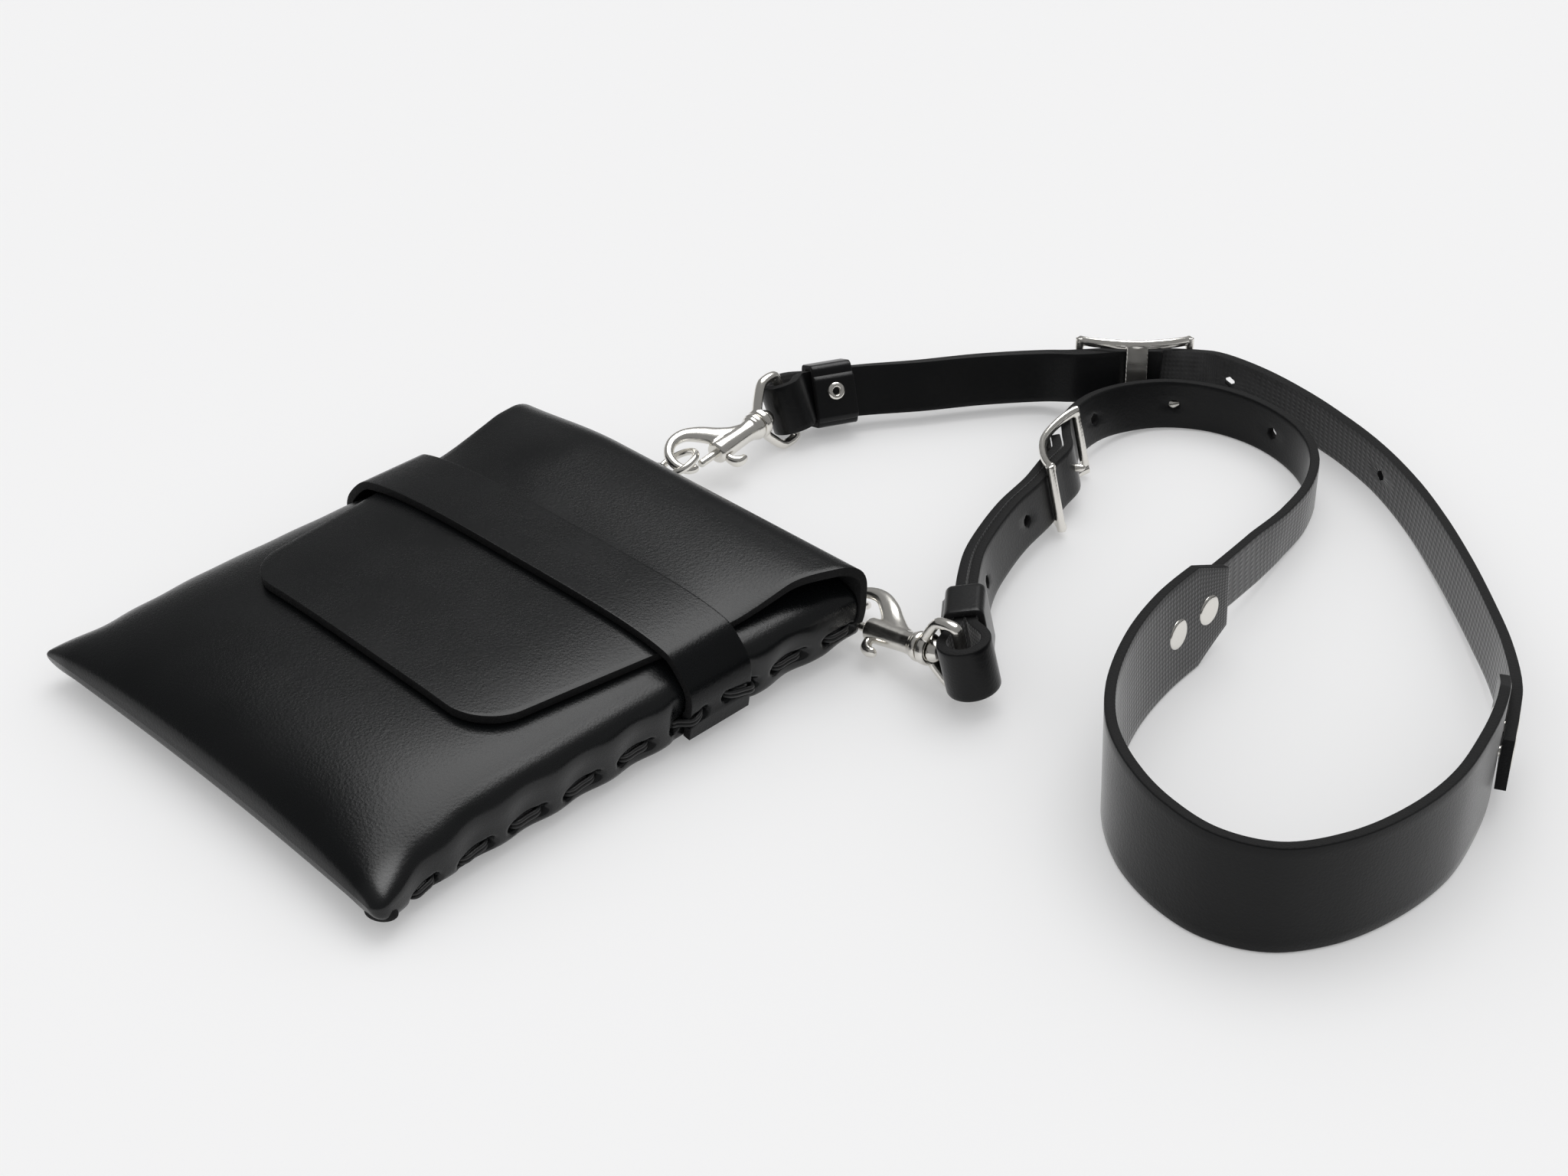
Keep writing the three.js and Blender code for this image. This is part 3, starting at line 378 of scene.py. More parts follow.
SHOULDER = {-1: 3.1, 1: 4.4}
BACK_POWER = 5.0
Section = namedtuple("Section", "y half front_z seam_z back_z side_z lift fullness")


def bottom_share(y, reach):
    return clamp((y - BOTTOM_Y) / reach)


def round_rise(share, power):
    return (1 - (1 - share) ** power) ** (1 / power)


def side_x(y):
    corner = CORNER_FLARE * (1 - bottom_share(y, 40)) ** 2
    return SIDE_X + corner + MOUTH_FLARE * smoothstep(y, 20, MOUTH_Y)


def corner_cut(y, side):
    """How much the rounding of a lower corner takes off the half width."""
    radius = CORNER_ROUND[-1 if side < 0 else 1]
    return radius * (1 - sqrt(1 - (1 - bottom_share(y, radius)) ** 2))


def section(y, inset=0.0):
    start = BOTTOM_Y + inset
    front = round_rise(clamp((y - start) / FRONT_RISE), 2.1)
    back, side_back = (round_rise(clamp((y - start) / reach), 2.0) for reach in (BACK_RISE, SIDE_BACK_RISE))
    top_lift = TOP_LIFT * smoothstep(y, *TOP_LIFT_SPAN)
    into_fold = clamp((y - FOLD_ENTRY) / (MOUTH_Y - FOLD_ENTRY)) ** 2
    lift = MOUTH_RISE["entry"] * smoothstep(y, TOP_LIFT_SPAN[1], FOLD_ENTRY) + MOUTH_RISE["end"] * into_fold
    lip = (0.1 if inset else BOTTOM_LIP) * sqrt(1 - (1 - clamp((y - start) / 1.6)) ** 2)
    return Section(
        y,
        side_x(y) - inset,
        lerp(BOTTOM_EDGE_Z + lip, FRONT_Z - inset, front) - MOUTH_SINK * into_fold,
        lerp(BOTTOM_EDGE_Z, SEAM_Z + 2, smoothstep(y, BOTTOM_Y, BOTTOM_Y + 50))
        + MOUTH_RISE["seam"] * smoothstep(y, TOP_LIFT_SPAN[1], MOUTH_Y),
        lerp(BOTTOM_EDGE_Z - lip, inset + top_lift, back),
        lerp(BOTTOM_EDGE_Z - lip, inset + 0.6 + 0.4 * top_lift, side_back),
        lift,
        smoothstep(y, BOTTOM_Y, BOTTOM_Y + 55),
    )


def shoulder(s, x):
    return lerp(2.4, SHOULDER[-1 if x < 0 else 1], s.fullness)


def section_point(s, angle):
    rise = sin(angle) >= 0
    power = shoulder(s, cos(angle)) if rise else BACK_POWER
    across = (1 if cos(angle) >= 0 else -1) * abs(cos(angle)) ** (2 / power)
    height = abs(sin(angle)) ** (2 / power)
    middle = 1 - smoothstep(abs(across), 0.82, 0.97)
    under = lerp(s.side_z, s.back_z + s.lift, middle)
    z = lerp(s.seam_z, s.front_z if rise else under, height)
    hollow = BOTTOM_HOLLOW * (1 - across * across) * (1 - bottom_share(s.y, 40)) ** 2
    return Vector(((s.half - corner_cut(s.y, across)) * across, s.y + hollow, z))


def front_height(x, y):
    s = section(y)
    share = clamp(abs(x) / s.half)
    power = shoulder(s, x)
    return lerp(s.seam_z, s.front_z, (1 - share**power) ** (1 / power))


print("front at the middle:", round(front_height(0, 0), 2), "mm")

# %% [markdown]
# Nine lace stitches run down each side. Each goes in and out of two punched holes, and pulls the moulded
# leather in around it, so the side is dimpled at every stitch and swells between them. Between its holes
# the thong lies in a groove. The table gives each stitch's two holes: place along the pouch and height.

# %% Stitches and the dents they pull
Stitch = namedtuple("Stitch", "y1 z1 y2 z2")
STITCHES = [
    Stitch(-71.4, 4.6, -64.1, 6.2),
    Stitch(-55.6, 5.4, -46.4, 6.8),
    Stitch(-39.0, 7.0, -29.0, 7.4),
    Stitch(-20.9, 7.0, -11.0, 8.0),
    Stitch(-2.4, 7.8, 7.6, 8.1),
    Stitch(16.4, 8.4, 24.9, 10.8),
    Stitch(33.0, 11.6, 44.8, 8.9),
    Stitch(52.8, 9.2, 63.4, 9.6),
    Stitch(71.9, 9.8, 81.0, 9.8),
]
DENT = 1.9
DENT_HALF = 6.8
DENT_LOW = (1.5, 6.0)
DENT_TOP = (10.0, 20.5)
BAND_PULL = (17.0, 43.0)
GROOVE_DEPTH = 0.9
HOLE_DEPTH = 1.6
HOLE_RADIUS = 1.5


def lace_pull(y, z):
    """How far the lacing draws the side in at a place on it: most at a stitch, nothing at the shoulder."""
    pull = max(
        sum(bell(y - (s.y1 + s.y2) / 2, DENT_HALF) for s in STITCHES),
        smoothstep(y, BAND_PULL[0] - 4, BAND_PULL[0]) * smoothstep(-y, -BAND_PULL[1] - 4, -BAND_PULL[1]),
    )
    at_height = lerp(0.4, 1, smoothstep(z, *DENT_LOW)) * (1 - smoothstep(z, *DENT_TOP))
    return DENT * pull * at_height * (1 - 0.8 * smoothstep(y, 62, 73))


def lace_holes(y, z):
    """How deep the side is at a place in or beside a stitch: a groove between two punched holes."""
    depth = 0.0
    for s in STITCHES:
        run, rise = s.y2 - s.y1, s.z2 - s.z1
        share = clamp(((y - s.y1) * run + (z - s.z1) * rise) / (run * run + rise * rise))
        off = hypot(y - lerp(s.y1, s.y2, share), z - lerp(s.z1, s.z2, share)) / HOLE_RADIUS
        ends = min(hypot(y - s.y1, z - s.z1), hypot(y - s.y2, z - s.z2)) / HOLE_RADIUS
        depth += GROOVE_DEPTH * exp(-(off**4)) + HOLE_DEPTH * exp(-(ends**4))
    return depth


def dented(point, holes=True):
    """A point of the shell, pulled in where it lies on a laced side."""
    on_side = smoothstep(abs(point.x), SIDE_X - 14, SIDE_X - 4)
    if on_side:
        depth = lace_pull(point.y, point.z) + (lace_holes(point.y, point.z) if holes else 0)
        point.x -= (1 if point.x > 0 else -1) * on_side * depth
    return point


print("stitches a side:", len(STITCHES))

# %% [markdown]
# A plain angle would crowd the corners with points and starve the laced sides. So the angles are spread by
# distance round the middle section, with extra weight on the sides where the holes are.

# %% Spread the points round the section
COLUMNS = 220
quarter_steps = np.linspace(0, 1, 1500)
eased = quarter_steps**4 / (quarter_steps**4 + (1 - quarter_steps) ** 4)
fine_angles = np.concatenate([(q + eased[:-1]) * pi / 2 for q in range(4)] + [[2 * pi]])
middle = [section_point(section(0), angle) for angle in fine_angles]
steps = [
    (b - a).length * (1 + 3 * bell(b.z - 9, 6) * (abs(b.x) > SIDE_X - 8)) for a, b in zip(middle, middle[1:])
]
travelled = np.concatenate([[0], np.cumsum(steps)])
ANGLES = np.interp(np.linspace(0, travelled[-1], COLUMNS + 1), travelled, fine_angles)
print("girth at the middle:", round(sum((b - a).length for a, b in zip(middle, middle[1:]))), "mm")

# %% [markdown]
# The shell has an outer and an inner skin, each a grid wrapped round its sections. A Solidify modifier would
# push the stitch holes through to the inside, so the inner skin is a smaller section of its own, without
# holes. Bridging the two rims at the mouth gives the cut edge, which has its own material.


# %% Pouch shell
OUTER_ROWS, INNER_ROWS = 220, 40
ROW_EASE = 1.25
RIM_FROM = 70.0


def shell_wall(rows, inset):
    def place(u, v):
        angle = ANGLES[round(u * COLUMNS)] % (2 * pi)
        end = MOUTH_Y + MOUTH_SIDE[-1 if cos(angle) < 0 else 1] * cos(angle) ** 2
        y = lerp(BOTTOM_Y + inset, end, v**ROW_EASE)
        point = section_point(section(y, inset), angle)
        return dented(point, holes=not inset)

    return mapped_grid(COLUMNS, rows, place, wrap=True)


shell = joined([shell_wall(OUTER_ROWS, 0), shell_wall(INNER_ROWS, WALL)])
mouth = [edge for edge in shell.edges if edge.is_boundary and edge.verts[0].co.y > RIM_FROM * MM]
mouth_edges = set(mouth)
bmesh.ops.bridge_loops(shell, edges=mouth)
bmesh.ops.recalc_face_normals(shell, faces=shell.faces[:])
for edge in mouth:
    for face in edge.link_faces:
        if sum(other in mouth_edges for other in face.edges) > 1:
            face.material_index = 1
pouch_body = add_piece("pouch_body_leather", shell, [SHELL_GRAIN, CUT_EDGE], nodes=["pouch_body"])
print("shell faces:", len(pouch_body.data.polygons))

# %% [markdown]
# The flap carries on from the back, folds over the mouth and lies down the front under the band. Its path
# is two quarter turns and a run that rests on the front, and its width narrows to the rounded lower corners.

# %% Flap
FLAP_END_Y = -35.0
FLAP_END_HALF = {-1: 49.5, 1: 54.3}
FLAP_TOP_HALF = {-1: 64.5, 1: 67.3}
FLAP_FOLD_HALF = {-1: 66.0, 1: 74.0}
FOLD_DROOP = 4.5
FOLD_SKEW = tan(radians(1))
FLAP_CORNER = 13.0
FOLD_Y = 86.0
FOLD_TOP_Z = 31.0
FOLD_BACK_Z = 4.8
FOLD_RADIUS = 10.0
FOLD_TUCK = 8.0
BAND_Y = 29.1
BAND_HALF = 11.0
FlapRow = namedtuple("FlapRow", "y z angle")


def flap_rows():
    rows = []
    for start, height in ((-pi / 2, FOLD_BACK_Z + FOLD_RADIUS), (0.0, FOLD_TOP_Z - FOLD_RADIUS)):
        for k in range(11):
            angle = start + k / 10 * pi / 2
            y = FOLD_Y - FOLD_RADIUS + FOLD_RADIUS * cos(angle)
            rows.append(FlapRow(y, height + FOLD_RADIUS * sin(angle), angle))
    straight = np.linspace(FOLD_Y - FOLD_RADIUS - 1.6, FLAP_END_Y + FLAP_CORNER, 60)
    corner = [FLAP_END_Y + FLAP_CORNER * (1 - sin(k / 12 * pi / 2)) for k in range(1, 13)]
    return rows + [FlapRow(y, None, pi / 2) for y in [*straight, *corner]]


def flap_half(y, side):
    edge = -1 if side < 0 else 1
    straight = lerp(FLAP_END_HALF[edge], FLAP_TOP_HALF[edge], clamp((y - FLAP_END_Y) / 105))
    flared = lerp(straight, FLAP_FOLD_HALF[edge], smoothstep(y, 62, FOLD_Y - 2))
    into_corner = clamp((FLAP_END_Y + FLAP_CORNER - y) / FLAP_CORNER)
    return flared - FLAP_CORNER * (1 - sqrt(1 - into_corner**2))


def fold_droop(x):
    return FOLD_DROOP * smoothstep(-x, 25, 75)


def flap_under(x, y):
    resting = front_height(x, y) + 2 * GAP
    lifted = FOLD_TOP_Z - WALL - fold_droop(x)
    return max(resting, lerp(resting, lifted, smoothstep(y, BAND_Y + BAND_HALF, 72)))


def flap_point(row, side):
    x = flap_half(row.y, side) * side
    if row.z is None:
        y = row.y + FOLD_SKEW * x * smoothstep(row.y, BAND_Y, 72)
        return Vector((x, y, flap_under(x, row.y) + WALL))
    height = (row.z - FOLD_BACK_Z) / (FOLD_TOP_Z - FOLD_BACK_Z)
    if side > 0:
        x -= FOLD_TUCK * side * smoothstep(-row.z, -10, -5.5)
    return Vector((x, row.y + FOLD_SKEW * x * height, row.z - fold_droop(x) * height))


FLAP_ROWS = flap_rows()
FLAP_COLUMNS, FLAP_LAST = 56, len(FLAP_ROWS) - 1
flap_sheet = mapped_grid(
    FLAP_COLUMNS, FLAP_LAST, lambda u, v: flap_point(FLAP_ROWS[round(v * FLAP_LAST)], 2 * u - 1), flip=True
)
scale_uv(flap_sheet, 140, 180)
flap = add_piece("flap_leather", flap_sheet, [POUCH_GRAIN, CUT_EDGE, CUT_EDGE], nodes=["flap"])
give_thickness(flap, WALL, -1, 0.7)
print("flap rows:", len(FLAP_ROWS))

# %% [markdown]
# The closing band crosses the front, steps up over the flap and goes down both sides, where the lacing
# holds its ends. It follows the same section as the shell, pushed out along the section's normal.

# %% Closing band
BAND_SKEW = tan(radians(1.4))
BAND_END = Vector((0.8, 0, 3.4))
BAND_STEP = {-1: (60.0, 70.0), 1: (62.5, 71.0)}
BAND_THICK = 2.4
BAND_GRID = (44, 300)
BAND_STEPS = 800
BAND_CROWD = 0.0575


def band_line():
    """The band's outer face from its right foot to its left, in even steps."""
    s = section(BAND_Y)
    line = []
    for share in np.linspace(0.0, 1.0, BAND_STEPS + 1):
        angle = 1e-4 + (share + BAND_CROWD * sin(4 * pi * share)) * (pi - 2e-4)
        here, ahead, behind = (
            dented(section_point(s, clamp(angle + d, 1e-6, pi - 1e-6)), False) for d in (0, 0.004, -0.004)
        )
        normal = Vector((ahead.z - behind.z, 0, behind.x - ahead.x)).normalized()
        over_flap = 1 - smoothstep(abs(here.x), *BAND_STEP[-1 if here.x < 0 else 1])
        line.append(here + normal * (2 * GAP + over_flap * (WALL + GAP) + BAND_THICK))
    right, left = line[0], line[-1]
    line = [Vector((right.x - BAND_END.x, 0, BAND_END.z)), *line, Vector((left.x + BAND_END.x, 0, BAND_END.z))]
    reach = np.concatenate([[0], np.cumsum([(b - a).length for a, b in zip(line, line[1:])])])
    even = np.linspace(0, reach[-1], BAND_GRID[1] + 1)
    return list(zip(*(np.interp(even, reach, [p[axis] for p in line]) for axis in (0, 2))))


BAND_LINE = band_line()


def band_point(u, v):
    x, z = BAND_LINE[round(v * BAND_GRID[1])]
    y = BAND_Y + BAND_SKEW * x + (2 * u - 1) * BAND_HALF
    if abs(x) > SIDE_X - 8:
        x -= (1 if x > 0 else -1) * lace_holes(y, z)
    return Vector((x, y, z))


band_sheet = mapped_grid(*BAND_GRID, band_point)
bmesh.ops.recalc_face_normals(band_sheet, faces=band_sheet.faces[:])
scale_uv(band_sheet, 2 * BAND_HALF, 190)
band = add_piece("band_leather", band_sheet, [POUCH_GRAIN, CUT_EDGE, CUT_EDGE], nodes=["closing_band"])
give_thickness(band, BAND_THICK, -1, 0.6)
print("band points:", len(BAND_LINE))

# %% [markdown]
# A bar of metal or a thong of leather is a ring of points swept along a path. The path is a smooth curve
# through a few named places, and its section may be flatter one way than the other. Radii of nothing at
# the ends close it in a rounded tip.


# %% Curves and swept bars
class Route:
    """A smooth curve through rows of numbers; the first three are its place."""

    def __init__(self, rows):
        self.rows = np.array(rows, float)

    def at(self, share):
        last = len(self.rows) - 1
        k = min(int(share * last), last - 1)
        t = share * last - k
        p1, p2 = self.rows[k], self.rows[k + 1]
        p0 = self.rows[k - 1] if k > 0 else 2 * p1 - p2
        p3 = self.rows[k + 2] if k + 2 <= last else 2 * p2 - p1
        d0, d1, d2 = (max(np.linalg.norm((b - a)[:3]), 1e-6) ** 0.5 for a, b in ((p0, p1), (p1, p2), (p2, p3)))
        m1 = ((p1 - p0) / d0 - (p2 - p0) / (d0 + d1) + (p2 - p1) / d1) * d1
        m2 = ((p2 - p1) / d1 - (p3 - p1) / (d1 + d2) + (p3 - p2) / d2) * d1
        return p1 + m1 * t + (3 * (p2 - p1) - 2 * m1 - m2) * t**2 + (2 * (p1 - p2) + m1 + m2) * t**3

    def tangent(self, share):
        step = self.at(min(share + 1e-4, 1)) - self.at(max(share - 1e-4, 0))
        return Vector(step[:3]).normalized()


def sweep(rows, across, per_row=6, sides=18):
    """A bar through rows of place, radius in the plane of the bend and radius across that plane."""
    route = Route([[*place, *radii] for place, *radii in rows])
    count = per_row * (len(rows) - 1)

    def place(u, v):
        share = round(v * count) / count
        x, y, z, wide, flat = route.at(share)
        side = across.cross(route.tangent(share)).normalized()
        turn = 2 * pi * u
        return Vector((x, y, z)) + side * cos(turn) * max(wide, 0) + across * sin(turn) * max(flat, 0)

    return closed(mapped_grid(sides, count, place, wrap=True))


print("a bar's section has 18 sides")

# %% [markdown]
# Each stitch is two strands of thin thong side by side. They come out of one hole, lie in the dent they have
# pulled and go in at the next. Where the band is laced down, they climb its edge.

# %% Lace stitches
STRAND = 0.62
STRAND_APART = 0.58


def side_surface(y, z):
    """How far out the leather is at a place on the laced side, the band's end included."""
    s = section(y)
    top, power = (s.front_z, shoulder(s, 1)) if z > s.seam_z else (s.side_z, BACK_POWER)
    share = clamp((z - s.seam_z) / (top - s.seam_z))
    wall = s.half * (1 - share**power) ** (1 / power) - lace_pull(y, z)
    on_band = abs(y - BAND_Y - BAND_SKEW * SIDE_X) < BAND_HALF + 0.6
    return wall + 2 * GAP + BAND_THICK if on_band else wall


Lift = namedtuple("Lift", "share height size")
STITCH_LIFT = (
    Lift(-0.01, -2.4, 0.0), Lift(0.0, -2.1, 0.8), Lift(0.07, -0.9, 1), Lift(0.2, -0.1, 1), Lift(0.5, 0.15, 1),
    Lift(0.8, -0.1, 1), Lift(0.93, -0.9, 1), Lift(1.0, -2.1, 0.8), Lift(1.01, -2.4, 0.0),
)


def strand(stitch, side, shift):
    rows = []
    for share, height, size in STITCH_LIFT:
        y, z = lerp(stitch.y1, stitch.y2, share), lerp(stitch.z1, stitch.z2, share)
        inner = clamp(share, 0.14, 0.86)
        base = side_surface(lerp(stitch.y1, stitch.y2, inner), lerp(stitch.z1, stitch.z2, inner))
        rows.append((Vector((side * (base + height), y, z + shift)), STRAND * size, STRAND * size))
    return sweep(rows, Vector((0, 0, 1)), per_row=5, sides=12)


for side, name in ((1, "right"), (-1, "left")):
    strands = [strand(s, side, shift) for s in STITCHES for shift in (-STRAND_APART, STRAND_APART)]
    add_piece(f"lacing_{name}", joined(strands), [LACE])
print("stitches:", 2 * len(STITCHES))

# %% [markdown]
# At the two lower corners the folded back ends in a small raw tongue that shows under the corner. It is a
# rounded pad, so a flattened sphere is enough, cut from the same leather as an edge.

# %% Corner tongues
TONGUE = {1: Vector((71.6, -80.9, 6.3)), -1: Vector((-72.4, -82.0, 7.4))}
TONGUE_HALF = {1: (4.3, 2.3, 2.5), -1: (2.2, 1.6, 1.8)}
for side, name in ((1, "right"), (-1, "left")):
    tongue = bmesh.new()
    bmesh.ops.create_uvsphere(tongue, u_segments=28, v_segments=16, radius=1)
    turn = Matrix.Translation(TONGUE[side] * MM) @ Matrix.Rotation(side * radians(35), 4, "Z")
    shape = turn @ Matrix.Diagonal((*(half * MM for half in TONGUE_HALF[side]), 1))
    bmesh.ops.transform(tongue, matrix=shape, verts=tongue.verts[:])
    add_piece(f"corner_tongue_{name}", tongue, [CUT_EDGE])
print("corner tongues: 2")

# %% [markdown]
# The pad and the straps stand on edge on the table. A row of their tables is the middle of one section:
# its place, the lift of its lower edge and the lean of its top to the left of the way along, in degrees.

# %% Strap tables
STRAP_THICK = 3.0
STRAP_WIDTH = 16.0
LAYER = 3.5
PAD_WIDTH = 32.0
PAD_CLIP = (14.5, 6.5)
Row = namedtuple("Row", "x y lift lean up", defaults=(None,))
PAD_ROUTE = [
    Row(142.4, 160.4, 0.3, -4), Row(142.9, 146, 0.3, -6), Row(144.6, 129, 0.3, -6), Row(149.5, 109.5, 0.3, -5),
    Row(158.9, 89, 0.3, -4), Row(170, 74.5, 0.3, -2), Row(184, 64.5, 0.3, 1), Row(199, 59.4, 0.3, 2),
    Row(213, 59, 0.3, 2), Row(226.5, 65.4, 0.3, 2), Row(235.8, 79, 0.3, 3), Row(241, 97, 0.3, 3),
    Row(242, 117, 0.3, 3), Row(238, 137, 0.3, 2), Row(233.4, 151, 0.3, 1), Row(228.4, 161.5, 0.3, 0),
    Row(223.7, 170.2, 0.3, 0),
]
SINGLE = {
    "right": [
        Row(133.6, 187.8, 4, 6), Row(129.8, 207, 1.5, 0), Row(124.6, 227, 0.3, 0), Row(116, 243, 0.3, 2),
        Row(103, 252.8, 0.3, -2), Row(86, 257, 0.3, -3), Row(70, 254.5, 0.3, -5), Row(57, 245.5, 0.7, -11),
        Row(50, 232.5, 1.5, -14), Row(49.3, 217, 3.6, -13),
    ],
    "left": [
        Row(213, 190, 5, -2), Row(198, 206, 3, -4), Row(183.2, 220.2, 2, -5), Row(166, 235.4, 1, -4),
        Row(147.8, 249.4, 0.3, -1), Row(128, 260.8, 0.3, 4), Row(109, 268, 0.3, 6), Row(91, 271.8, 0.7, 4),
        Row(74, 271.5, 2, 0), Row(61, 267.5, 3.5, -6),
    ],
}
DOUBLE = {
    "right": [
        Row(75, 151, 5, -14), Row(79.3, 137.6, 4.8, -14), Row(84.4, 125.6, 4.8, -14), Row(91.4, 114.6, 5, -13),
        Row(100.8, 102.4, 5.4, -12), Row(105.4, 97.2, 5.5, -12),
    ],
    "left": [
        Row(19.8, 229.6, 3.1, -17), Row(6.3, 213.1, 3.0, -19), Row(-5.5, 195.1, 3.1, -21),
        Row(-15.5, 180.8, 3.4, -23), Row(-21.3, 169.5, 4.2, -25), Row(-24.8, 161.9, 4.7, -25),
    ],
}
Buckle = namedtuple("Buckle", "x y lift lean heading")
Pose = namedtuple("Pose", "x y z heading dip roll")
BUCKLES = {"right": Buckle(65.3, 186, 5.4, -13, -62.6), "left": Buckle(40.4, 250, 4.2, -14, -135)}
SNAPS = {"right": Pose(96.6, 87.4, 11.3, 181, 10.4, 24), "left": Pose(-23.2, 140.4, 11.5, -84, 3, 25)}
RINGS = {"right": Pose(60, 92.6, 6.2, 219, -3, 30), "left": Pose(-24.2, 105.4, 10.9, -119, 25, 13)}
TABS = {"right": Vector((38, 67, 2)), "left": Vector((-44, 66, 2))}
HOLES = {
    "right": [(49.2, 217), (61, 248), (91.6, 256), (73, 154), (88, 122.8)],
    "left": [(66.5, 270), (131, 258)],
}
DOUBLED = {"right": -1, "left": 1}
PAD_END = {"right": 0, "left": 1}
print("strap rows:", {name: len(SINGLE[name]) + len(DOUBLE[name]) for name in SINGLE})

# %% [markdown]
# From a table of rows comes a list of samples: point, way along, the direction from lower to upper edge,
# and the normal of the strap's left face. Everything that sits on a strap is placed from these.

# %% Samples along a strap
Sample = namedtuple("Sample", "point along up normal lean distance")


def upright(along, lean):
    left = Vector((-along.y, along.x, 0)).normalized()
    return left * sin(radians(lean)) + Vector((0, 0, cos(radians(lean))))


def left_face(along, up):
    return up.cross(along).normalized()


def sample_route(rows, width, per_row=8):
    route = Route([[r.x, r.y, r.lift + width / 2 * cos(radians(r.lean))] for r in rows])
    last = len(rows) - 1
    ups = [Vector(r.up) if r.up else upright(route.tangent(i / last), r.lean) for i, r in enumerate(rows)]
    samples, distance = [], 0.0
    for k in range(last * per_row + 1):
        share = k / (last * per_row)
        row = min(k // per_row, last - 1)
        mix = k / per_row - row
        point = Vector(route.at(share))
        along = route.tangent(share)
        along = Vector((along.x, along.y, 0)).normalized()
        up = ups[row].lerp(ups[row + 1], mix).normalized()
        if samples:
            distance += (point - samples[-1].point).length
        lean = lerp(rows[row].lean, rows[row + 1].lean, mix)
        samples.append(Sample(point, along, up, left_face(along, up), lean, distance))
    return samples


def sample_at(samples, distance):
    k = next((i for i, s in enumerate(samples) if s.distance >= distance), len(samples) - 1)
    a, b = samples[max(k - 1, 0)], samples[max(k, 1)]
    mix = (distance - a.distance) / (b.distance - a.distance)
    along = a.along.lerp(b.along, mix).normalized()
    up = a.up.lerp(b.up, mix).normalized()
    point = a.point.lerp(b.point, mix)
    return Sample(point, along, up, left_face(along, up), lerp(a.lean, b.lean, mix), distance)


def basis(x, y, z, place):
    turn = Matrix((x, y, z)).transposed().to_4x4()
    turn.translation = place
    return turn


def strap_frame(sample):
    return basis(sample.along, sample.normal, sample.up, sample.point)


PAD_SAMPLES = sample_route(PAD_ROUTE, PAD_WIDTH)
PAD_LENGTH = PAD_SAMPLES[-1].distance


def pad_at(end, from_end):
    return sample_at(PAD_SAMPLES, from_end if end == 0 else PAD_LENGTH - from_end)


print("pad length:", round(PAD_LENGTH), "mm")

# %% [markdown]
# A buckle is a frame that the strap goes through; a snap's eye is what it loops round. Both are given as
# a matrix, so the strap's route can be worked out from the same numbers as the metal.

# %% Frames of buckles and snaps
BUCKLE_LENGTH = 36.0
BUCKLE_HALF = 10.4
BUCKLE_ARCH = 6.0
BUCKLE_WIRE = 1.4
EYE_WIRE = 1.6
EYE_HALF = STRAP_WIDTH / 2 + 1.4 + EYE_WIRE
EYE_DEPTH = 13.0
LOOP_RADIUS = 6.0
LOOP_SLACK = 1.8
LOOP_TURN = (-105, -75, -45, -15, 15, 45, 75, 105)


def buckle_frame(name):
    b = BUCKLES[name]
    along = Vector((cos(radians(b.heading)), sin(radians(b.heading)), 0))
    up = upright(along, b.lean)
    normal = left_face(along, up)
    place = Vector((b.x, b.y, b.lift + STRAP_WIDTH / 2 * cos(radians(b.lean))))
    return basis(along * -DOUBLED[name], normal * -DOUBLED[name], up, place)


def posed(pose, roll_sign):
    turn = Matrix.Rotation(radians(pose.heading), 4, "Z") @ Matrix.Rotation(radians(pose.dip), 4, "Y")
    turn = turn @ Matrix.Rotation(roll_sign * radians(pose.roll), 4, "X")
    turn.translation = Vector(pose[:3])
    return turn


def eye_axes(name):
    before, last = DOUBLE[name][-2:]
    along = Vector((last.x - before.x, last.y - before.y, 0)).normalized()
    axis = posed(SNAPS[name], -1).col[0].to_3d()
    across = upright(along, last.lean).cross(axis).normalized()
    return along, axis, across, axis.cross(across).normalized()


print("snap axes:", {name: [round(v, 3) for v in eye_axes(name)[1]] for name in SNAPS})

# %% [markdown]
# The whole strap is one route: off the pad, through the buckle, doubled round the bar of the snap's eye and
# back into the buckle.

# %% Routes of the straps
PAD_STAND = 0.4
PAD_SEAT = (
    ((30.5, 0.9), (24, PAD_STAND), (12, PAD_STAND), (2, PAD_STAND)),
    ((26, 0.9), (19.5, PAD_STAND), (11, PAD_STAND), (2, PAD_STAND)),
)


def pad_rows(end):
    rows = []
    for from_end, stand in PAD_SEAT[end]:
        at = pad_at(end, from_end)
        spot = at.point - at.normal * (STRAP_THICK + stand)
        lean = -at.lean if end == 0 else at.lean
        rows.append(Row(spot.x, spot.y, spot.z - STRAP_WIDTH / 2 * cos(radians(lean)), lean))
    return rows


def buckle_rows(name):
    at_bars = -(BUCKLE_WIRE + 2 * GAP + STRAP_THICK / 2)
    at_middle = -BUCKLE_ARCH + BUCKLE_WIRE + 2 * GAP + LAYER + STRAP_THICK / 2
    lean = BUCKLES[name].lean
    rows = []
    for share in (-1.1, -0.5, 0, 0.5, 1.1):
        bulge = max(0, cos(share * pi / 2)) ** 2
        place = -DOUBLED[name] * share * BUCKLE_LENGTH / 2
        spot = buckle_frame(name) @ Vector((place, lerp(at_bars, at_middle, bulge), 0))
        rows.append(Row(spot.x, spot.y, spot.z - STRAP_WIDTH / 2 * cos(radians(lean)), lean))
    return rows


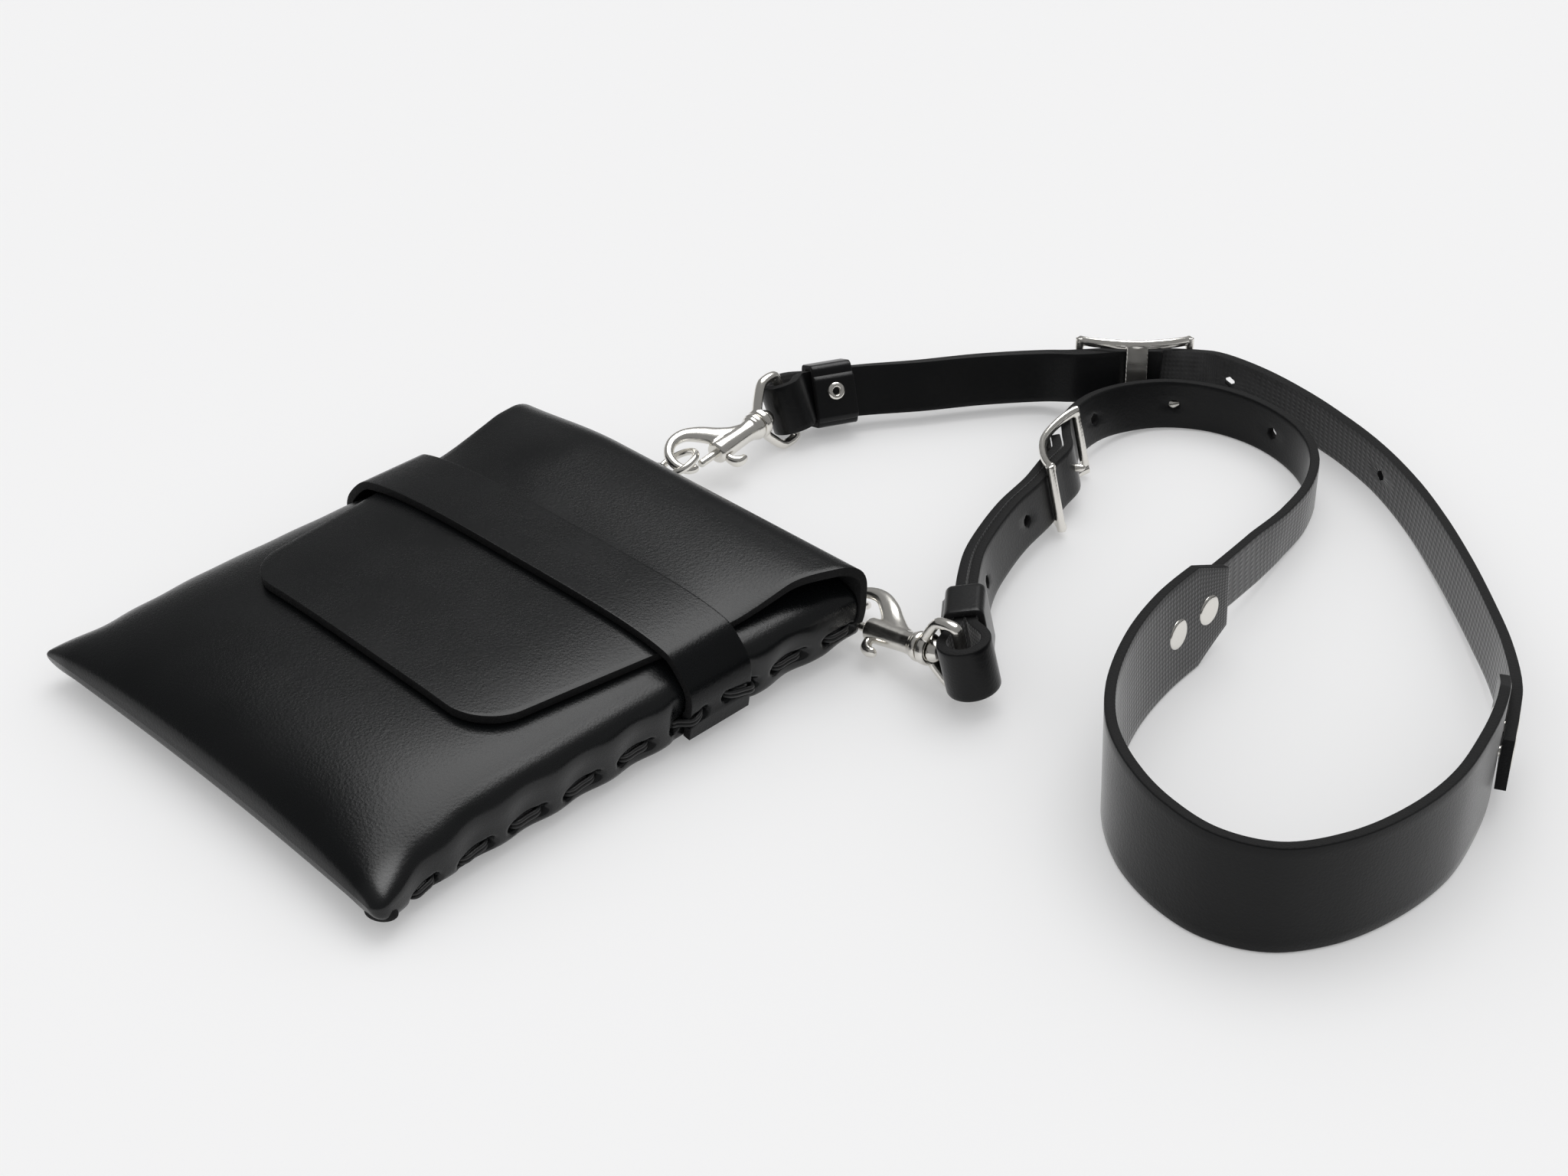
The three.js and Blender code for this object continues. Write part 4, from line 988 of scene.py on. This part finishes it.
def beside(rows, distance):
    """The same rows, shifted along the strap's normal and listed the other way round."""
    shifted = []
    for i, r in enumerate(rows):
        before, after = rows[max(i - 1, 0)], rows[min(i + 1, len(rows) - 1)]
        left = Vector((before.y - after.y, after.x - before.x)).normalized()
        level = distance * cos(radians(r.lean))
        lift = r.lift - distance * sin(radians(r.lean))
        shifted.append(Row(r.x + left.x * level, r.y + left.y * level, lift, -r.lean))
    return shifted[::-1]


def eye_turn(name):
    along, axis, across, high = eye_axes(name)
    loop = posed(SNAPS[name], -1) @ Vector((-(EYE_DEPTH + LOOP_SLACK), 0, 0))
    rows = []
    for degrees in LOOP_TURN:
        angle = atan2(along.y, along.x) + radians(degrees) * DOUBLED[name]
        out = Vector((cos(angle), sin(angle))) * LOOP_RADIUS
        tilt = -(out.x * high.x + out.y * high.y) / high.z
        rows.append(Row(loop.x + out.x, loop.y + out.y, loop.z + tilt - STRAP_WIDTH / 2, 0, tuple(high)))
    return rows


def strap_route(name):
    through = buckle_rows(name)
    back = beside([*through[1:], *DOUBLE[name]], DOUBLED[name] * LAYER)
    return [*pad_rows(PAD_END[name]), *SINGLE[name], *through, *DOUBLE[name], *eye_turn(name), *back]


STRAP_SAMPLES = {name: sample_route(strap_route(name), STRAP_WIDTH, 5) for name in SNAPS}
print("strap lengths:", {name: round(s[-1].distance) for name, s in STRAP_SAMPLES.items()}, "mm")

# %% [markdown]
# A strip is a grid laid along the samples. A punched hole is made in the grid before it gets its thickness:
# the four cells round one corner are taken out, and the ring of corners left is moved onto a circle.

# %% Strips and punched holes
STRIP_ROWS = 10
PUNCH_RADIUS = 1.9


def strip_sheet(samples, width, clip=(1, 0), grain_left=True):
    total = samples[-1].distance
    count = len(samples) - 1

    def place(u, v):
        s = samples[round(u * count)]
        from_end = min(s.distance, total - s.distance)
        half = width / 2 - clip[1] * max(0, 1 - from_end / clip[0])
        return s.point + s.up * (2 * v - 1) * half

    sheet = mapped_grid(count, STRIP_ROWS, place, flip=grain_left)
    scale_uv(sheet, total, width)
    return sheet


def punch(sheet, sample):
    centre = sample.point * MM
    middle = min(sheet.verts, key=lambda corner: (corner.co - centre).length)
    rim = {corner for face in middle.link_faces for corner in face.verts if corner is not middle}
    for corner in rim:
        out = corner.co - middle.co
        turn = atan2(out.dot(sample.up), out.dot(sample.along))
        corner.co = middle.co + (sample.along * cos(turn) + sample.up * sin(turn)) * PUNCH_RADIUS * MM
    bmesh.ops.delete(sheet, geom=[middle], context="VERTS")


def passes(samples, hole):
    """The strap's layers at a hole: one, or two where it is doubled."""
    near = [s for s in samples if hypot(s.point.x - hole[0], s.point.y - hole[1]) < 6]
    found = []
    for s in near:
        if not found or abs(s.distance - found[-1][-1].distance) > 20:
            found.append([])
        found[-1].append(s)
    return [min(run, key=lambda s: hypot(s.point.x - hole[0], s.point.y - hole[1])) for run in found]


print("strips are", STRIP_ROWS, "cells wide")

# %% [markdown]
# Both straps and the pad are strips of the same leather. Each strap is punched through all its layers; the
# pad is twice as wide and its ends are clipped. A cloth simulation could bend them too, but the tables
# already hold their shape as they lie.

# %% Straps and pad
for name, samples in STRAP_SAMPLES.items():
    sheet = strip_sheet(samples, STRAP_WIDTH, grain_left=name == "right")
    for hole in HOLES[name]:
        for at in passes(samples, hole):
            punch(sheet, at)
    strap = add_piece(
        f"strap_leather_{name}", sheet, STRAP_LEATHER, nodes=[f"strap_{name}"]
    )
    give_thickness(strap, STRAP_THICK, 0, 0.5)
pad_sheet = strip_sheet(PAD_SAMPLES, PAD_WIDTH, PAD_CLIP, grain_left=False)
pad = add_piece(
    "pad_leather", pad_sheet, [PAD_GRAIN, FLESH, CUT_EDGE], nodes=["shoulder_pad"]
)
give_thickness(pad, STRAP_THICK, 0, 0.5)
print("straps and pad laid")

# %% [markdown]
# Turned pieces, such as rivets and the snap's barrel, are a profile of radius and height spun once round.


# %% Turned pieces
def turned(profile, matrix, sides=32):
    """Spins a profile of (radius, height) round the Y axis of a frame given in millimetres."""
    bm = bmesh.new()
    bm.loops.layers.uv.new("lay")
    corners = [bm.verts.new((radius, height, 0)) for radius, height in profile]
    edges = [bm.edges.new(pair) for pair in zip(corners, corners[1:])]
    bmesh.ops.spin(
        bm, geom=corners + edges, cent=(0, 0, 0), axis=(0, 1, 0), angle=2 * pi, steps=sides, use_merge=True
    )
    bmesh.ops.transform(bm, matrix=Matrix.Scale(MM, 4) @ matrix, verts=bm.verts[:])
    return closed(bm)


print("turned pieces have 32 sides unless they are thin")

# %% [markdown]
# Two rivets hold each end of the pad to its strap. A rivet is a shaft with a low domed cap on both sides,
# pressed a tenth of a millimetre into the leather.

# %% Pad rivets
CAP_RADIUS = 4.5
CAP_THICK = 0.6
CAP_DOME = ((0.0, 1.0), (0.55, 0.98), (0.8, 0.9), (0.93, 0.68), (1.0, 0.25), (1.0, 0.0))
SHAFT_RADIUS = 1.5
PRESSED = 0.1
PAD_RIVETS = ((9.5, 25), (9.5, 20.5))
inner = STRAP_THICK / 2 - PRESSED
outer = -(STRAP_THICK * 1.5 + PAD_STAND - PRESSED)
rivet_profile = [
    *((CAP_RADIUS * r, outer - CAP_THICK * h) for r, h in CAP_DOME),
    (SHAFT_RADIUS, outer),
    (SHAFT_RADIUS, inner),
    *((CAP_RADIUS * r, inner + CAP_THICK * h) for r, h in CAP_DOME[::-1]),
]
for name, end in PAD_END.items():
    for index, from_end in enumerate(PAD_RIVETS[end], 1):
        rivet = turned(rivet_profile, strap_frame(pad_at(end, from_end)))
        add_piece(f"rivet_{name}_{index}", rivet, [NICKEL], nodes=[f"pad_rivet_{name}_{index}"])
print("pad rivets:", sum(len(places) for places in PAD_RIVETS))

# %% [markdown]
# A keeper is a short sleeve of thinner leather round both layers of the strap. Its end laps over itself on
# the doubled side and a tubular rivet holds it. The sleeve is a grid bent round a rounded box.

# %% Keepers
KEEPER_WIDTH = 13.5
KEEPER_WALL = 1.9
KEEPER_ROW = 4
KEEPER_IN = LAYER / 2 + STRAP_THICK / 2 + GAP + 0.3
KEEPER_CORNER = 2.4
LAP_THICK = 1.3
LAP_GAP = 0.05
LAP_TUCK = 1.2
LAP_LOW, LAP_HIGH = 1.6, 3.4
RIVET_RAISED = 1.2
TUBE = (
    (0, -0.5), (1.1, -0.5), (1.25, 0.7), (1.6, 1.0), (2.2, 1.0), (2.75, 0.7), (2.9, 0.2), (2.9, -0.1),
    (1.4, -0.1), (1.4, -1.4), (0, -1.4),
)


def keeper_frame(name):
    before, row, after = DOUBLE[name][KEEPER_ROW - 1 : KEEPER_ROW + 2]
    along = Vector((after.x - before.x, after.y - before.y, 0)).normalized()
    up = upright(along, row.lean)
    normal = left_face(along, up)
    place = Vector((row.x, row.y, row.lift + STRAP_WIDTH / 2 * cos(radians(row.lean))))
    return basis(along, normal, up, place + normal * DOUBLED[name] * LAYER / 2)


def box_line(half_thick, half_high, corner, steps=6):
    line = []
    for quarter, (x, y) in enumerate(((1, 1), (-1, 1), (-1, -1), (1, -1))):
        for k in range(steps + 1):
            turn = (quarter + k / steps) * pi / 2
            across, up = x * (half_thick - corner), y * (half_high - corner)
            line.append((across + corner * cos(turn), up + corner * sin(turn)))
    return [*line, line[0]]


for name in SNAPS:
    matrix = keeper_frame(name)
    high = STRAP_WIDTH / 2 + GAP + KEEPER_WALL
    outline = box_line(KEEPER_IN + KEEPER_WALL, high, KEEPER_CORNER)
    top = KEEPER_IN + KEEPER_WALL + LAP_GAP + LAP_THICK

    def sleeve_point(u, v, outline=outline, matrix=matrix):
        across, up = outline[round(u * (len(outline) - 1))]
        return matrix @ Vector(((2 * v - 1) * KEEPER_WIDTH / 2, across, up))

    def lap_point(u, v, top=top, high=high, matrix=matrix, side=DOUBLED[name]):
        tuck = LAP_TUCK * smoothstep(abs(2 * v - 1), 0.8, 1.0)
        wide = (2 * u - 1) * KEEPER_WIDTH / 2
        return matrix @ Vector((wide, side * (top - tuck), lerp(LAP_LOW - high, high - LAP_HIGH, v)))

    sleeve = mapped_grid(len(outline) - 1, 8, sleeve_point, wrap=True)
    bmesh.ops.recalc_face_normals(sleeve, faces=sleeve.faces[:])
    lap = mapped_grid(8, 24, lap_point, flip=DOUBLED[name] > 0)
    keeper = add_piece(
        f"keeper_leather_{name}", sleeve, STRAP_LEATHER, nodes=[f"keeper_{name}"]
    )
    give_thickness(keeper, KEEPER_WALL, -1, 0.4)
    lapped = add_piece(f"keeper_lap_{name}", lap, STRAP_LEATHER)
    give_thickness(lapped, LAP_THICK, -1, 0.4)
    flip = Matrix() if DOUBLED[name] > 0 else Matrix.Rotation(pi, 4, "X")
    lift = Matrix.Translation((0, 0, RIVET_RAISED))
    tube = turned([(radius, top + height) for radius, height in TUBE], matrix @ lift @ flip)
    add_piece(f"keeper_rivet_cap_{name}", tube, [NICKEL], nodes=[f"keeper_rivet_{name}"])
print("keepers:", len(SNAPS))

# %% [markdown]
# Cast metal has no sharp inner corners. Its bars are modelled one by one and overlap; a voxel Remesh then
# fuses them into one skin, and a few rounds of smoothing melt the joints as casting and tumbling do.


# %% Cast metal
def add_casting(name, parts, nodes, body="pouch", voxel=0.25, rounds=6):
    piece = add_piece(name, joined(parts), [NICKEL], body, nodes)
    fuse = piece.modifiers.new("one casting", "REMESH")
    fuse.mode = "VOXEL"
    fuse.voxel_size = voxel * MM
    fuse.use_smooth_shade = True
    soft = piece.modifiers.new("tumbled", "SMOOTH")
    soft.factor = 0.5
    soft.iterations = rounds
    return piece


def in_frame(rows, matrix):
    return [(matrix @ Vector(place), *radii) for place, *radii in rows]


def across_of(matrix, axis):
    return matrix.col[axis].to_3d().normalized()


print("castings are fused at a quarter of a millimetre")

# %% [markdown]
# The buckle's two rails arch over the strap and carry a flat bar between their tops; its prong is fixed to
# that bar. Round end bars join the rails at both ends.

# %% Buckles
MIDDLE_BAR = 7.0
PRONG_TIP = 5.4
RAIL = ((-1, 0.15), (-0.92, -0.12), (-0.55, -0.66), (0, -1), (0.55, -0.66), (0.92, -0.12), (1, 0.15))


def buckle_parts(name):
    matrix = buckle_frame(name)
    reach = BUCKLE_LENGTH / 2
    parts = []
    for edge in (-1, 1):
        rail = [
            (Vector((a * reach, arch * BUCKLE_ARCH, edge * BUCKLE_HALF)), 1.15, 1.6) for a, arch in RAIL
        ]
        parts.append(sweep(in_frame(rail, matrix), across_of(matrix, 2)))
        bar = [(Vector((edge * reach, 0, z)), 1.4, 1.4) for z in (-BUCKLE_HALF - 1, 0, BUCKLE_HALF + 1)]
        parts.append(sweep(in_frame(bar, matrix), across_of(matrix, 1)))
    plate = bmesh.new()
    plate.loops.layers.uv.new("lay")
    bmesh.ops.create_cube(plate, size=1)
    size = Matrix.Diagonal((MIDDLE_BAR, 2.0, BUCKLE_HALF * 2, 1))
    place = Matrix.Scale(MM, 4) @ matrix @ Matrix.Translation((0, -BUCKLE_ARCH, 0)) @ size
    bmesh.ops.transform(plate, matrix=place, verts=plate.verts[:])
    parts.append(plate)
    prong = [
        (0, -BUCKLE_ARCH), (1.3, -BUCKLE_ARCH), (1.35, PRONG_TIP - 3), (1.2, PRONG_TIP - 1.2),
        (0.7, PRONG_TIP - 0.3), (0, PRONG_TIP),
    ]
    parts.append(turned(prong, matrix, 20))
    return parts


for name in BUCKLES:
    add_casting(f"buckle_metal_{name}", buckle_parts(name), [f"buckle_{name}"], rounds=4)
print("buckles:", len(BUCKLES))

# %% [markdown]
# A swivel snap has three pieces: the bent eye that carries the strap, the cast hook with its barrel, and
# the sprung bolt with its thumb lever. The hook's arm is broad where it leaves the barrel.

# %% Swivel snaps
EYE_SHOULDER = 6.0
EYE_BASE = (4.6, 1.5)
EYE_BORE = 2.1
EYE_EASE = 0.6
BARREL_RADIUS = 3.6
BARREL_END = 22.0
BOLT_START = 15.0
BOLT_END = 29.4
KNOB_AT = 19.5
Arm = namedtuple("Arm", "along side wide flat")
HOOK_ARM = (
    Arm(8, -0.6, 3.0, 2.6), Arm(12, -1.6, 3.4, 2.5), Arm(16, -4.2, 3.4, 2.1), Arm(20.5, -8.2, 2.9, 1.9),
    Arm(25.5, -11.0, 2.2, 1.7), Arm(31, -11.0, 1.75, 1.55), Arm(35.2, -8.0, 1.6, 1.45),
    Arm(36, -3.6, 1.55, 1.4), Arm(33.8, -0.5, 1.4, 1.35), Arm(31.2, 0.2, 1.2, 1.2), Arm(30.4, 0.3, 0.0, 0.0),
)
LEVER = (
    Arm(KNOB_AT, 0, 1.2, 1.2), Arm(KNOB_AT, 2.6, 1.25, 1.3), Arm(KNOB_AT - 0.2, 4.6, 1.5, 1.6),
    Arm(KNOB_AT - 1.2, 6.2, 1.7, 2.0), Arm(KNOB_AT - 3.0, 6.8, 1.5, 1.9), Arm(KNOB_AT - 4.6, 6.5, 1.0, 1.3),
    Arm(KNOB_AT - 5.2, 6.2, 0.0, 0.0),
)
along_x = Matrix.Rotation(-pi / 2, 4, "Z")


def eye_parts(name):
    along, axis, across, high = eye_axes(name)
    matrix = basis(axis, across, high, Vector(SNAPS[name][:3]))
    upper = [
        (0, 3.2), (-2.4, 6.6), (-EYE_SHOULDER + 0.6, EYE_HALF - 1.0), (-EYE_SHOULDER - 1, EYE_HALF - 0.1),
        (-EYE_DEPTH + 1.9, EYE_HALF), (-EYE_DEPTH + 0.3, EYE_HALF - 0.6), (-EYE_DEPTH, EYE_HALF - 2.4),
        (-EYE_DEPTH, 3),
    ]
    line = upper + [(a, -h) for a, h in upper[::-1]]
    rows = [(Vector((a, 0, h)), 1.5, 1.75) for a, h in line]
    radius, half = EYE_BASE
    base = [
        (EYE_BORE, -half), (radius - EYE_EASE, -half), (radius, -half + EYE_EASE), (radius, half - EYE_EASE),
        (radius - EYE_EASE, half), (EYE_BORE, half), (EYE_BORE, -half),
    ]
    return [sweep(in_frame(rows, matrix), across_of(matrix, 1)), turned(base, matrix @ along_x)]


def hook_parts(name):
    matrix = posed(SNAPS[name], -1)
    start, head = EYE_BASE[1] + GAP, -EYE_BASE[1] - GAP
    profile = [
        (0, head - 3.6), (1.3, head - 3.4), (2.4, head - 2.6), (3.1, head - 1.3), (3.3, head), (1.8, head),
        (1.8, start), (4.2, start), (4.4, start + 0.4), (4.4, start + 1.6), (4.0, start + 2.0),
        (4.0, start + 2.6),
        (3.5, start + 3.2), (3.2, start + 6), (3.3, start + 10), (BARREL_RADIUS, BARREL_END - 3),
        (BARREL_RADIUS, BARREL_END - 0.8),
        (BARREL_RADIUS - 0.6, BARREL_END), (0, BARREL_END),
    ]
    arm = [(Vector((p.along, p.side, 0)), p.wide, p.flat) for p in HOOK_ARM]
    return [turned(profile, matrix @ along_x), sweep(in_frame(arm, matrix), across_of(matrix, 2))]


def bolt_parts(name):
    matrix = posed(SNAPS[name], -1)
    rod = [(0, BOLT_START), (1.3, BOLT_START), (1.3, BOLT_END - 0.5), (0.9, BOLT_END), (0, BOLT_END)]
    lever = [(Vector((p.along, p.side, 0)), p.wide, p.flat) for p in LEVER]
    return [turned(rod, matrix @ along_x, 20), sweep(in_frame(lever, matrix), across_of(matrix, 2))]


for name in SNAPS:
    add_casting(f"eye_metal_{name}", eye_parts(name), [f"snap_eye_{name}"], rounds=4)
    add_casting(f"hook_metal_{name}", hook_parts(name), [f"snap_hook_{name}"], body=f"hook_{name}")
    add_casting(f"bolt_metal_{name}", bolt_parts(name), [f"snap_bolt_{name}"], body=f"bolt_{name}", rounds=3)
print("snaps:", len(SNAPS))

# %% [markdown]
# Rings are a circle of wire spun round. Each hangs in a folded leather tab sewn under the back.

# %% Rings and their tabs
RING_RADIUS = 6.6
RING_WIRE = 1.15
RING_STEPS = 56
TAB_WIDTH = 3.6
TAB_ROOM = 1.2
TAB_THICK = 1.0


def ring_bm(matrix):
    bm = bmesh.new()
    bm.loops.layers.uv.new("lay")
    made = bmesh.ops.create_circle(bm, segments=20, radius=RING_WIRE)
    stand = Matrix.Translation((RING_RADIUS, 0, 0)) @ Matrix.Rotation(pi / 2, 4, "X")
    bmesh.ops.transform(bm, matrix=stand, verts=made["verts"])
    wire = bm.verts[:] + bm.edges[:]
    bmesh.ops.spin(
        bm, geom=wire, cent=(0, 0, 0), axis=(0, 0, 1), angle=2 * pi, steps=RING_STEPS, use_merge=True
    )
    bmesh.ops.transform(bm, matrix=Matrix.Scale(MM, 4) @ matrix, verts=bm.verts[:])
    bmesh.ops.recalc_face_normals(bm, faces=bm.faces[:])
    return bm


def tab_line(name):
    """Rows of the folded tab: its middle, and the direction across it."""
    matrix = posed(RINGS[name], 1)
    wire = matrix @ Vector((RING_RADIUS, 0, 0))
    root = TABS[name]
    along = Vector((wire.x - root.x, wire.y - root.y, 0))
    length = along.length
    along.normalize()
    flat = Vector((0, 0, 1)).cross(along)
    across = matrix.col[1].to_3d()
    wide = (across - along * across.dot(along)).normalized()
    wide = wide if wide.dot(flat) > 0 else -wide
    loop, shut = RING_WIRE + TAB_ROOM + TAB_THICK / 2, TAB_THICK / 2 + 0.1
    lower = [(k / 16 * 0.85 * length, -lerp(shut, loop, smoothstep(k / 16 * 0.85, 0.55, 1))) for k in range(17)]
    bend = [(length + loop * cos(radians(t)), loop * sin(radians(t))) for t in range(-90, 91, 12)]
    rows = []
    for s, n in [*lower, *bend, *[(s, -n) for s, n in lower[::-1]]]:
        raised = smoothstep(s / length, 0.62, 0.97)
        turn = flat.lerp(wide, raised).normalized()
        centre = root + along * s + along.cross(turn) * n
        centre.z += raised * (wire.z - root.z)
        rows.append((centre, turn))
    return rows


for name, pose in RINGS.items():
    add_piece(f"ring_metal_{name}", ring_bm(posed(pose, 1)), [NICKEL], nodes=[f"ring_{name}"])
    rows = tab_line(name)

    def tab_point(u, v, rows=rows):
        centre, turn = rows[round(u * (len(rows) - 1))]
        return centre + turn * (2 * v - 1) * TAB_WIDTH / 2

    sheet = mapped_grid(len(rows) - 1, 4, tab_point)
    scale_uv(sheet, 60, TAB_WIDTH)
    tab = add_piece(f"tab_leather_{name}", sheet, STRAP_LEATHER, nodes=[f"ring_tab_{name}"])
    give_thickness(tab, TAB_THICK, 0, 0.25)
print("rings:", len(RINGS))

# %% [markdown]
# The table is a plain pale sheet, much larger than the picture. A wide soft box hangs overhead and a little
# behind, and shows as the broad sheen on the right shoulder. The rest of the room is dim, so the black
# leather keeps its depth. A sun lamp with a wide spread acts as such a box, because it falls evenly on the
# whole table. A second one fills the shadows and a third only adds to the sheen.

# %% Table and light
floor_finish = Finish("pale table")
floor_finish.set(Base_Color=(0.66, 0.66, 0.664, 1), Roughness=0.8, Specular_IOR_Level=0.0)
floor_finish.set(Emission_Color=(1.0, 1.0, 1.0, 1), Emission_Strength=0.25)
floor_bm = bmesh.new()
bmesh.ops.create_grid(floor_bm, x_segments=1, y_segments=1, size=6)
floor_mesh = bpy.data.meshes.new("table")
floor_bm.to_mesh(floor_mesh)
floor_bm.free()
floor_mesh.materials.append(floor_finish.material)
floor = bpy.data.objects.new("table", floor_mesh)
bpy.context.collection.objects.link(floor)

ROOM_GLOW = 0.25
BoxLight = namedtuple("BoxLight", "name toward spread strength diffuse glossy")
BOX_LIGHTS = (
    BoxLight("soft_box", (-0.2, 0.34, 0.92), 48, 0.75, True, True),
    BoxLight("fill", (0.0, 0.0, 1.0), 150, 1.6, True, False),
    BoxLight("sheen", (-0.2, 0.34, 0.92), 48, 2.6, False, True),
)
for box in BOX_LIGHTS:
    lamp = bpy.data.lights.new(box.name, "SUN")
    lamp.energy = box.strength
    lamp.angle = radians(box.spread)
    stand = bpy.data.objects.new(box.name, lamp)
    stand.rotation_euler = Vector(box.toward).to_track_quat("Z", "Y").to_euler()
    stand.visible_diffuse = box.diffuse
    stand.visible_glossy = box.glossy
    bpy.context.collection.objects.link(stand)

room = bpy.data.worlds.new("room")
room.use_nodes = True
room.node_tree.nodes["Background"].inputs["Color"].default_value = (1, 1, 1, 1)
room.node_tree.nodes["Background"].inputs["Strength"].default_value = ROOM_GLOW
bpy.context.scene.world = room
bpy.context.scene.view_settings.view_transform = "Standard"
print("lights:", [box.name for box in BOX_LIGHTS])
